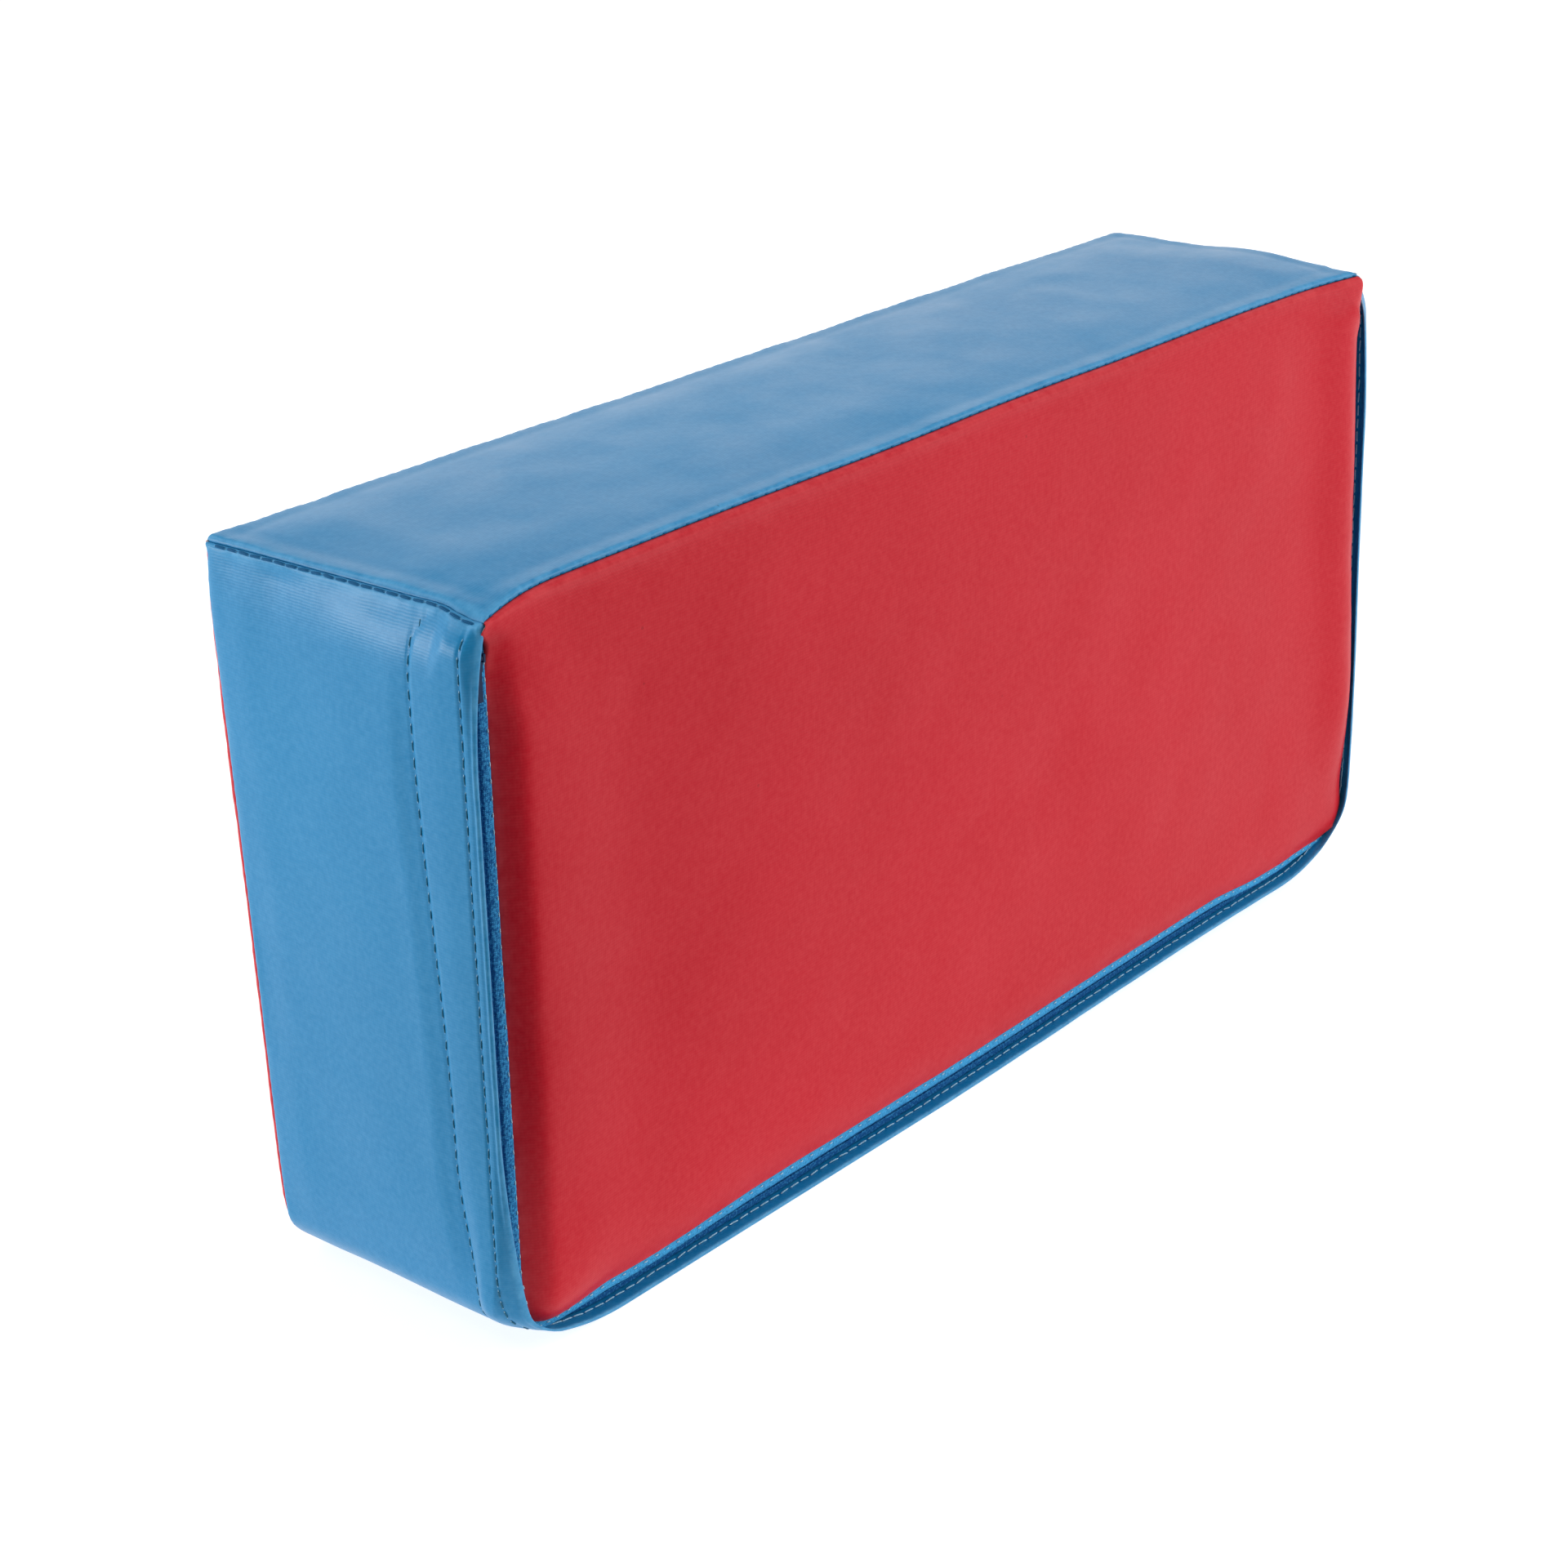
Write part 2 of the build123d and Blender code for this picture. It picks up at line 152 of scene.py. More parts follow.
# ======== How the soft block leaves its nominal box: pinched corners, a bulging middle
def warp(points):
    """Moves points of the nominal block to where the filled, sewn cover has them."""
    x, y, z = np.moveaxis(np.asarray(points, float), -1, 0)
    from_left, from_right, from_top = x - LEFT, RIGHT - x, TOP - z
    behind_rim = y - RIM
    side = smooth((np.abs(x) - 190) / 110)
    frontness = 1 - smooth((y + 60) / 120)
    left = x < 0

    # Ends: pinched in at the top and bottom seams, a little full between
    slim = 1 - smooth((behind_rim - 12) / 10)      # near the zip the slider needs its room
    reach_top = 32 - 16 * slim
    at_foot = 8.0 * fade(z, 26) * slim + 5.0 * fade(z, 90, 1.5) * (1 - slim)
    pinch_left = -1.0 + 9.0 * fade(from_top, reach_top) + at_foot
    swell = 1.8 * bump(z, 85, 60)
    at_top = 9.5 * fade(from_top, reach_top + 8) + 3.4 * slim * fade(from_top, 70, 1.3)
    pinch_right = -1.4 - swell + at_top + at_foot
    pinch_back = 3.0 + 4.0 * (1 - z / TOP) + 2.5 * fade(from_top, 40) + 1.5 * fade(z, 45)
    pinch = frontness * np.where(left, pinch_left, pinch_right) + (1 - frontness) * pinch_back
    new_x = x - np.sign(x) * pinch * side

    # Bottom: lifted towards both ends, and at the front right
    low = fade(z, 70, 1.6)
    lift = np.where(left, 10.5, 13.0) * fade(HALF - np.abs(x), 60) + 4.6 * smooth((x + 60) / 260) * frontness
    new_z = z + lift * low * (0.6 + 0.4 * frontness)

    # Top: front corners drawn down, the middle of the front seam up, a soft swell on the right
    high = fade(from_top, 60, 1.6)
    behind_front = np.maximum(y - FRONT, 0)
    corner_dip = 3.9 * fade(from_left, 45) - 0.6 * fade(from_right, 45)
    right_swell = 2.2 * bump(y, -15, 24) - 2.2 * fade(behind_rim, 34, 1.5) - 1.3 * fade(BACK - y, 30)
    uneven = 0.5 * noise(x, y, 90, 60, 5) * smooth((np.abs(y) - 40) / 30)
    rise = (1.4 * fade(behind_front, 40) - corner_dip * fade(behind_front, 20, 1.5)
            + right_swell * smooth((x - 190) / 100) + uneven)
    new_z = new_z + rise * high

    # Back: the sides and the foot of the back seam lie forward of its top
    backness = smooth((y + 10) / 78)
    forward = 10.5 * np.clip(1 - z / TOP, 0, 1) ** 0.55 * (0.55 + 0.45 * smooth((np.abs(x) - 120) / 160))
    return np.stack([new_x, y - forward * backness, np.maximum(new_z, FLOOR_GAP)], -1)


def flare(x):
    """How far the two upper front corners stand forward of the seam's middle."""
    return 8.2 * fade(x - LEFT, 62, 2.2) + 6.0 * fade(RIGHT - x, 62, 2.2)


def at_ends(x):
    return smooth((np.abs(x) - 270) / 20)


def lean(x, z, behind_rim):
    """How far the lip leans in over the zip."""
    left = x < 0
    lean_left = 8.5 * (fade(TOP - z, 62) - fade(TOP - z, 16)) + 12.0 * fade(z, 100, 1.5) - 5.0 * fade(z, 26)
    lean_right = 4.4 + 5.0 * fade(TOP - z, 80) - 5.0 * fade(TOP - z, 16) + 4.0 * fade(z, 40)
    amount = np.where(left, lean_left, lean_right) * at_ends(x)
    width = 4.5 + 8.0 * fade(z, 40, 1.0)
    return amount * fade(np.maximum(behind_rim, 0), width, 1.4) * smooth((TOP - z - 2.4) / 6)


# ======== Grids and meshes
def roll_samples(total, middle, count=8):
    """Arc lengths across a sheet with a seam roll at both ends."""
    roll = np.linspace(0, ROLL_LENGTH, count)
    return np.concatenate([roll[:-1], middle, total - roll[:-1][::-1]])


def seam_turn(arc):
    """Place and drop of a sheet at an arc length from its seam: a roll first, then flat."""
    angle = np.clip((ROLL_LENGTH - arc) / ROLL, 0, TURN)
    place = ROLL_REACH - ROLL * np.sin(angle) + np.maximum(arc - ROLL_LENGTH, 0)
    return place, ROLL * (1 - np.cos(angle))


def across(arc, nominal):
    """Place and drop of a sheet with a seam at both ends of a nominal width, and how near a seam is."""
    near = np.minimum(arc, full_length(nominal) - arc)
    place, drop = seam_turn(near)
    return np.where(arc > full_length(nominal) / 2, nominal - place, place), drop, near


def full_length(nominal):
    return nominal - 2 * ROLL_REACH + 2 * ROLL_LENGTH


def steps(start, end, fine, coarse, ramp):
    """Places from start to end: fine steps near both ends, coarser between them."""
    half = (end - start) / 2
    out, at = [0.0], 0.0
    while at < half:
        at += fine + (coarse - fine) * min(1.0, at / ramp)
        out.append(at)
    out = np.array(out) * half / at
    return np.concatenate([start + out, end - out[::-1][1:]])


def round_corner(x, z, corner_x, corner_z):
    """Turns the square corners beyond corner_x and below corner_z into round ones."""
    over_x, under_z = np.abs(x) - corner_x, corner_z - z
    inside = (over_x > 0) & (under_z > 0)
    reach = np.hypot(np.maximum(over_x, 0), np.maximum(under_z, 0))
    scale = np.maximum(np.maximum(over_x, under_z), TINY) / np.maximum(reach, TINY)
    return (np.where(inside, np.sign(x) * (corner_x + over_x * scale), x),
            np.where(inside, corner_z - under_z * scale, z))


def joined_drop(drop_a, drop_b):
    """Two rolls that meet at a corner, never deeper than one seam."""
    both = (drop_a ** 5 + drop_b ** 5) ** 0.2
    return np.minimum(both, SEAM_IN)


def normals_of(grid):
    du, dv = np.gradient(grid, axis=0), np.gradient(grid, axis=1)
    n = np.cross(du, dv)
    return n / np.maximum(np.linalg.norm(n, axis=-1, keepdims=True), 1e-9)


def make_mesh(name, verts, faces, uvs=None, slots=None, attributes=None):
    """A mesh object from numpy arrays: verts and uvs in millimetres, a uv for each vertex."""
    mesh = bpy.data.meshes.new(name)
    mesh.from_pydata((np.asarray(verts) * MM).tolist(), [], [list(map(int, f)) for f in faces])
    if uvs is not None:
        layer = mesh.uv_layers.new(name="cloth")
        index = np.zeros(len(mesh.loops), np.int32)
        mesh.loops.foreach_get("vertex_index", index)
        layer.data.foreach_set("uv", (np.asarray(uvs)[index] * MM).astype(np.float32).ravel())
    for key, values in (attributes or {}).items():
        attribute = mesh.attributes.new(key, "FLOAT", "POINT")
        attribute.data.foreach_set("value", np.asarray(values, np.float32).ravel())
    if slots is not None:
        mesh.polygons.foreach_set("material_index", np.asarray(slots, np.int32))
    mesh.polygons.foreach_set("use_smooth", np.full(len(mesh.polygons), True))
    mesh.update()
    mesh.validate()
    piece = bpy.data.objects.new(name, mesh)
    bpy.context.scene.collection.objects.link(piece)
    return piece


def sheet_piece(name, outer, uv, outwards, wear_and_painted_highlight, thick=SHEET):
    """A closed sheet of cloth: its outer face is a grid of points, its inner face lies behind."""
    rows, cols = outer.shape[:2]
    normal = normals_of(outer)
    flip = np.dot(normal[rows // 2, cols // 2], outwards) < 0
    inner = outer - (-normal if flip else normal) * thick
    count = rows * cols
    grid = np.arange(count).reshape(rows, cols)
    quads = np.stack([grid[:-1, :-1], grid[1:, :-1], grid[1:, 1:], grid[:-1, 1:]], -1).reshape(-1, 4)
    border = np.concatenate([grid[0, :-1], grid[:-1, -1], grid[-1, :0:-1], grid[:0:-1, 0]])
    following = np.roll(border, -1)
    rim = np.stack([border, following, following + count, border + count], -1)
    way = -1 if flip else 1
    faces = np.concatenate([quads[:, ::way], quads[:, ::-way] + count, rim[:, ::way]])
    slots = np.concatenate([np.zeros(len(quads)), np.ones(len(quads)), np.zeros(len(rim))])
    verts = np.concatenate([outer.reshape(-1, 3), inner.reshape(-1, 3)])
    # the attribute holds rubbed wear and a painted highlight along the seam rolls; for the zip tapes it
    # holds painted light and shade
    return make_mesh(name, verts, faces, np.concatenate([uv.reshape(-1, 2)] * 2), slots,
                     {"wear_and_painted_highlight": np.concatenate([wear_and_painted_highlight.reshape(-1)] * 2)})


def unit(vectors):
    return vectors / np.linalg.norm(vectors, axis=1, keepdims=True)


def capsules(name, centres, directions, sides, length, radius, flat=1.0, rings=4, segments=6):
    """Many short rounded threads in one mesh. sides gives each one's upward normal."""
    centres, directions, sides = (np.asarray(a, float) for a in (centres, directions, sides))
    directions = unit(directions)
    sides = unit(sides - (sides * directions).sum(1, keepdims=True) * directions)
    third = np.cross(directions, sides)
    profile = np.linspace(-1, 1, rings + 3)
    threads = len(centres)
    lengths = np.broadcast_to(np.asarray(length, float), (threads,))
    verts, uvs = [], []
    for t in profile:
        r = radius * math.sqrt(max(0.0, 1 - abs(t) ** 4)) + THREAD_CORE
        sag = THREAD_SAG * radius * (1 - t * t)
        for k in range(segments):
            a = 2 * math.pi * k / segments
            verts.append(centres + directions * (t * lengths[:, None] / 2)
                         + sides * (sag + flat * r * math.sin(a)) + third * (r * math.cos(a)))
            uvs.append(np.stack([t * lengths / 2, np.full(threads, k / segments * 3.0)], -1))
    last = (len(profile) - 1) * segments
    base = [(i + k, i + (k + 1) % segments, i + (k + 1) % segments + segments, i + k + segments)
            for i in range(0, last, segments) for k in range(segments)]
    starts = np.arange(threads) * len(profile) * segments
    walls = (np.array(base)[None] + starts[:, None, None]).reshape(-1, 4)
    caps = (np.arange(segments)[::-1], np.arange(last, last + segments))
    faces = walls.tolist() + [(cap + start).tolist() for start in starts for cap in caps]
    return make_mesh(name, np.stack(verts, 1).reshape(-1, 3), faces, np.stack(uvs, 1).reshape(-1, 2))


# ======== Materials
class Nodes:
    """A short way to write the node tree of a material or a world."""

    def __init__(self, owner):
        self.owner = owner
        owner.use_nodes = True
        self.tree = owner.node_tree
        self.shader = self.tree.nodes.get("Principled BSDF")

    def node(self, kind, inputs, **settings):
        """A new node. inputs gives its sockets' values or links, settings its properties."""
        made = self.tree.nodes.new("ShaderNode" + kind)
        for key, value in settings.items():
            setattr(made, key, value)
        for key, value in inputs.items():
            if isinstance(value, bpy.types.NodeSocket):
                self.tree.links.new(value, made.inputs[key])
            else:
                made.inputs[key].default_value = value
        return made

    def surface(self, color, roughness=None, **values):
        """Fills the shader's sockets: links for colour and roughness, plain values for the rest."""
        self.tree.links.new(color, self.shader.inputs["Base Color"])
        if roughness is not None:
            self.tree.links.new(roughness, self.shader.inputs["Roughness"])
        for key, value in values.items():
            self.shader.inputs[SOCKETS[key]].default_value = value

    def math(self, operation, *values, clamp=False):
        return self.node("Math", dict(enumerate(values)), operation=operation, use_clamp=clamp).outputs[0]

    def mix(self, factor, a, b):
        a, b = ((*color, 1.0) if isinstance(color, tuple) else color for color in (a, b))
        return self.node("Mix", {0: factor, 6: a, 7: b}, data_type="RGBA").outputs[2]

    def noise(self, vector, scale, detail=2.0, roughness=0.5):
        return self.node("TexNoise", {"Scale": scale, "Detail": detail, "Roughness": roughness,
                                      "Vector": vector}).outputs["Fac"]

    def cells(self, vector, scale):
        return self.node("TexVoronoi", {"Scale": scale, "Vector": vector}).outputs["Distance"]

    def cloth(self):
        return self.node("UVMap", {}, uv_map="cloth").outputs[0]

    def place(self):
        return self.node("TexCoord", {}).outputs["Object"]

    def attribute(self, name):
        return self.node("Attribute", {}, attribute_name=name).outputs["Fac"]

    def span(self, value, low, high, out_low, out_high, **settings):
        return self.node("MapRange", {"Value": value, "From Min": low, "From Max": high, "To Min": out_low,
                                      "To Max": out_high}, **settings).outputs[0]

    def wave(self, vector, pitch, direction, distortion):
        """Bands that lie pitch millimetres apart."""
        scale = 2 * math.pi / (WAVE_BANDS * pitch * MM)
        return self.node("TexWave", {"Scale": scale, "Distortion": distortion, "Vector": vector},
                         wave_type="BANDS", bands_direction=direction).outputs["Fac"]

    def bumps(self, *layers):
        """Layers of (height socket, strength, distance in millimetres), one over the other."""
        below = {}
        for height, strength, distance in layers:
            inputs = {"Strength": strength, "Distance": distance * MM, "Height": height}
            below = {"Normal": self.node("Bump", {**inputs, **below}).outputs[0]}
        self.tree.links.new(below["Normal"], self.shader.inputs["Normal"])


SOCKETS = {"specular": "Specular IOR Level", "ior": "IOR", "rough": "Roughness", "glow": "Emission Strength",
           "glow_color": "Emission Color"}


def new_material(name):
    return Nodes(bpy.data.materials.new(name))


def shade(color, share):
    return tuple(c * share for c in color)


def vinyl(name, base, deep, pale, specular, rough=(0.36, 0.46), specks=0.5):
    """Coated vinyl over a woven base: faint weave lines, clouding, specks and rubbed folds, paler along the
    seam rolls and the rim, partly from wear and partly as a painted highlight.
    """
    m = new_material(name)
    place, cloth = m.place(), m.cloth()
    clouds, fine = m.noise(place, 9.0, 3.0, 0.55), m.noise(place, 420.0, 2.0, 0.6)
    color = m.mix(m.span(clouds, 0.35, 0.65, 0.0, 1.0), base, deep)
    color = m.mix(m.span(fine, 0.3, 0.8, 0.0, 0.22), color, pale)
    weft, warp_lines = m.wave(cloth, VINYL_WEAVE, "Y", 1.5), m.wave(cloth, VINYL_WEAVE, "X", 1.5)
    color = m.mix(m.span(weft, 0.0, 1.0, 0.13, 0.0), color, shade(base, 0.55))
    patches = m.span(m.noise(place, 130.0, 3.0, 0.7), 0.35, 0.7, 0.15, 1.0)
    rubbed_and_highlit = m.math("MULTIPLY", m.attribute("wear_and_painted_highlight"), patches)
    # paler along the seam rolls and the band's rim: partly rubbed wear, partly a painted highlight; the
    # added roughness is the wear
    color = m.mix(m.math("MULTIPLY", rubbed_and_highlit, 0.62), color, pale)
    speck = m.math("MULTIPLY", m.span(m.cells(place, 26.0), 0.016, 0.022, 1.0, 0.0), specks)
    roughness = m.span(m.noise(place, 34.0, 4.0, 0.6), 0.3, 0.7, *rough)
    roughness = m.math("ADD", roughness, m.math("MULTIPLY", rubbed_and_highlit, 0.12))
    m.surface(m.mix(speck, color, shade(base, 0.25)), roughness, ior=1.5, specular=specular)
    m.bumps((m.noise(place, 30.0, 3.0, 0.55), 0.25, 0.35), (weft, 0.35, 0.05), (warp_lines, 0.15, 0.05),
            (fine, 0.12, 0.05))
    return m.owner


def backing(name, base):
    """The inner face of the coated vinyl: a thin plain weave."""
    m = new_material(name)
    place, cloth = m.place(), m.cloth()
    weave = m.math("MULTIPLY", m.wave(cloth, 0.9, "X", 0.6), m.wave(cloth, 0.9, "Y", 0.6))
    color = m.mix(m.span(weave, 0.0, 1.0, 0.0, 0.5), shade(base, 0.7), base)
    color = m.mix(m.span(m.noise(place, 60.0, 3.0), 0.3, 0.7, 0.0, 0.25), color, shade(base, 0.8))
    m.surface(color, m.span(weave, 0.0, 1.0, 0.75, 0.9))
    m.bumps((weave, 0.5, 0.15))
    return m.owner


def tape_cloth(name, dark, light, rough=0.62):
    """Woven zip tape: ribs across its width; its colour runs from dark to light by an attribute that holds
    painted light and shade.
    """
    m = new_material(name)
    place, cloth = m.place(), m.cloth()
    weave = m.math("MULTIPLY", m.wave(cloth, 0.8, "X", 0.4), m.wave(cloth, 0.65, "Y", 0.4))
    grain = m.span(m.noise(place, 980.0, 1.0, 0.6), 0.35, 0.65, -0.36, 0.36)
    color = m.mix(m.math("ADD", m.attribute("tone"), grain, clamp=True), dark, light)
    color = m.mix(m.span(weave, 0.0, 0.6, 0.35, 0.0), color, shade(dark, 0.45))
    m.surface(color, m.span(weave, 0.0, 1.0, rough + 0.15, rough), specular=0.15)
    m.bumps((weave, 0.7, 0.25), (m.noise(place, 900.0, 2.0), 0.3, 0.1))
    return m.owner


def thread_cloth(name, base, tip_highlight, highlight_from=1.3):
    """Twisted sewing thread, with a painted highlight at the two ends of each stitch."""
    m = new_material(name)
    cloth = m.cloth()
    turned = m.node("Mapping", {"Rotation": (0.0, 0.0, math.radians(32)), "Vector": cloth}).outputs[0]
    twist = m.wave(turned, 0.7, "X", 0.3)
    along = m.math("ABSOLUTE", m.node("SeparateXYZ", {0: cloth}).outputs[0])
    # painted highlight at the two ends of each stitch
    ends = m.span(along, highlight_from * MM, (highlight_from + 0.8) * MM, 0.0, 1.0)
    m.surface(m.mix(ends, m.mix(twist, shade(base, 0.7), base), tip_highlight), m.span(twist, 0.0, 1.0, 0.7, 0.55),
              specular=0.15)
    m.bumps((twist, 0.6, 0.12))
    return m.owner


def foam_cloth(name, base, yellowed):
    """Cut open-cell foam."""
    m = new_material(name)
    place = m.place()
    pores = m.cells(place, 650.0)
    color = m.mix(m.span(pores, 0.1, 0.5, 0.0, 0.6), shade(base, 0.72), base)
    color = m.mix(m.span(m.noise(place, 14.0, 3.0), 0.35, 0.65, 0.0, 0.3), color, yellowed)
    m.surface(color, m.span(pores, 0.0, 0.6, 0.95, 0.85))
    m.bumps((m.noise(place, 45.0, 3.0), 0.3, 0.5), (pores, 0.8, 0.5))
    return m.owner


def nylon(name, base):
    m = new_material(name)
    grain = m.noise(m.place(), 500.0, 3.0, 0.6)
    color = m.mix(m.span(grain, 0.3, 0.7, 0.0, 1.0), shade(base, 0.8), base)
    m.surface(color, m.span(grain, 0.3, 0.7, 0.3, 0.42))
    m.bumps((grain, 0.2, 0.05))
    return m.owner


def painted_metal(name, base, bare):
    """Dark lacquered zinc, rubbed to bare metal here and there."""
    m = new_material(name)
    grain = m.noise(m.place(), 260.0, 4.0, 0.65)
    rubbed = m.span(grain, 0.62, 0.7, 0.0, 0.6)
    m.surface(m.mix(rubbed, base, bare), m.span(grain, 0.3, 0.7, 0.42, 0.56), specular=0.2)
    m.tree.links.new(rubbed, m.shader.inputs["Metallic"])
    m.bumps((grain, 0.25, 0.08))
    return m.owner


BLUE = vinyl("blue_vinyl", (0.003, 0.228, 0.496), (0.002, 0.212, 0.470), (0.12, 0.43, 0.73), 0.31,
             rough=(0.30, 0.40))
RED = vinyl("red_vinyl", (0.560, 0.009, 0.023), (0.530, 0.008, 0.020), (0.74, 0.08, 0.09), 0.13, specks=0.3)
BACKING = backing("vinyl_backing", (0.55, 0.57, 0.60))
# the tape's dark and light colours are its shaded and its lit look, mixed by painted light and shade
TAPE = tape_cloth("zip_tape", (0.001, 0.090, 0.30), (0.07, 0.48, 0.92))
# each thread's second colour is a painted highlight at the ends of its stitches
THREAD = thread_cloth("thread", (0.030, 0.17, 0.28), (0.38, 0.68, 0.86))
PALE_THREAD = thread_cloth("pale_thread", (0.42, 0.74, 0.95), (0.62, 0.86, 0.98))
DARK_THREAD = thread_cloth("seam_thread", (0.004, 0.11, 0.27), (0.20, 0.52, 0.80), highlight_from=2.5)
BLUE_THREAD = thread_cloth("front_thread", (0.010, 0.19, 0.44), (0.03, 0.32, 0.62))
FOAM = foam_cloth("foam", (0.83, 0.79, 0.68), (0.83, 0.79 * 0.93, 0.68 * 0.78))
COIL = nylon("zip_coil", (0.010, 0.11, 0.33))
METAL = painted_metal("zip_metal", (0.002, 0.022, 0.075), (0.03, 0.06, 0.10))


# ======== Top sheet
SPAN_X = RIGHT - LEFT
SPAN_TOP_Y = BACK - FRONT


def seam_top_line():
    """Arc lengths along the block, with a whole number of grid steps to a stitch."""
    total = full_length(SPAN_X)
    cells = int(round((total - 2 * ROLL_LENGTH) / STEP))
    return roll_samples(total, np.linspace(ROLL_LENGTH, total - ROLL_LENGTH, cells + 1))


def top_surface(arc_x, arc_y):
    """Points of the top sheet's outer face, and their distance to the nearest seam."""
    px, drop_x, near_x = across(arc_x, SPAN_X)
    py, drop_y, near_y = across(arc_y, SPAN_TOP_Y)
    x, y = LEFT + px, FRONT + py
    drop = joined_drop(drop_x, drop_y)
    from_front, from_back = arc_y, full_length(SPAN_TOP_Y) - arc_y
    # ridge of the turned allowance, and the broad slope down to the front seam
    for near in (from_front, from_back, near_x):
        drop = drop + 0.30 * bump(near, 11.0, 4.0) * clear_of(10, near_x, near_y)
    crown = (2.2 * smooth(near_x / 45) * smooth(near_y / 38)
             + 0.9 * smooth(near_x / 140) * smooth(near_y / 60))
    folds = (puckers(arc_x, from_front, 11, 0.42, 16, 15) + puckers(arc_x, from_back, 21, 0.42, 16, 17)
             + puckers(arc_y, near_x, 31, 0.5, 22, 16)) * clear_of(4, near_x, near_y)
    waves = (0.55 * noise(arc_x, arc_y, 70, 45, 41)
             + 0.28 * noise(arc_x, arc_y, 28, 22, 42)) * clear_of(30, near_x, near_y)
    tuck = scallops(arc_x, near_y) * smooth(near_x / 6) + scallops(arc_y, near_x) * smooth(near_y / 6)
    z = TOP - drop + crown + folds + waves - tuck
    y = y - flare(x) * fade(from_front, 40, 1.6)
    points = stacked(x, y, z)
    return warp(points), np.minimum(near_x, near_y) + 0 * z


arc_x = seam_top_line()[:, None]
total_y = full_length(SPAN_TOP_Y)
arc_y = roll_samples(total_y, steps(ROLL_LENGTH, total_y - ROLL_LENGTH, 1.1, 3.4, 22))[None, :]
grid, near = top_surface(arc_x, arc_y)
uv = stacked(arc_x, arc_y)
# rubbed wear and a painted highlight along the seam rolls
wear_and_painted_highlight = bump(near, 2.4, 2.0)
top_sheet = sheet_piece("top_sheet", grid, uv, (0, 0, 1), wear_and_painted_highlight)

# ======== Front sheet: sewn at its top edge, hemmed on the other three
HEM_ROLL = 1.3
HEM_TURN = math.radians(100)
HEM_LENGTH = HEM_ROLL * HEM_TURN
PANEL_LEFT, PANEL_RIGHT = LEFT + PANEL_INSET, RIGHT - PANEL_INSET
PANEL_FOOT = PANEL_INSET
PANEL_FACE = FRONT - CAD_SHEET


def foot_sag(x):
    """How far the red sheet's foot hangs below its nominal line, most at its two corners."""
    at_left = 8.5 * fade(x - PANEL_LEFT, 46, 1.3) + 2.2 * bump(x, -215, 45)
    return at_left + 3.0 * smooth((x - 180) / 45) + 10.0 * fade(PANEL_RIGHT + 12 - x, 45, 1.5)


def hem(arc):
    """Place and drop of a sheet's rolled free edge, from its outermost line inwards."""
    angle = np.clip((HEM_LENGTH - arc) / HEM_ROLL, 0, HEM_TURN)
    place = np.where(arc < HEM_LENGTH, HEM_ROLL * (1 - np.sin(angle)), arc - HEM_LENGTH + HEM_ROLL)
    return place, HEM_ROLL * (1 - np.cos(angle))


# Dents of the red sheet, given one by one: x, z, radius, depth
DENTS = ((-282, 276, 9, 0.9), (-274, 264, 8, 0.7), (-219, 247, 11, 0.8), (-284, 134, 12, 1.3),
         (-285, 121, 9, 0.9), (208, 31, 16, 0.5), (-150, 70, 40, 0.5), (120, 180, 60, 0.6),
         (-60, 220, 50, -0.5), (225, 24, 10, 0.4), (-262, 60, 18, 0.7), (60, 60, 45, 0.5))


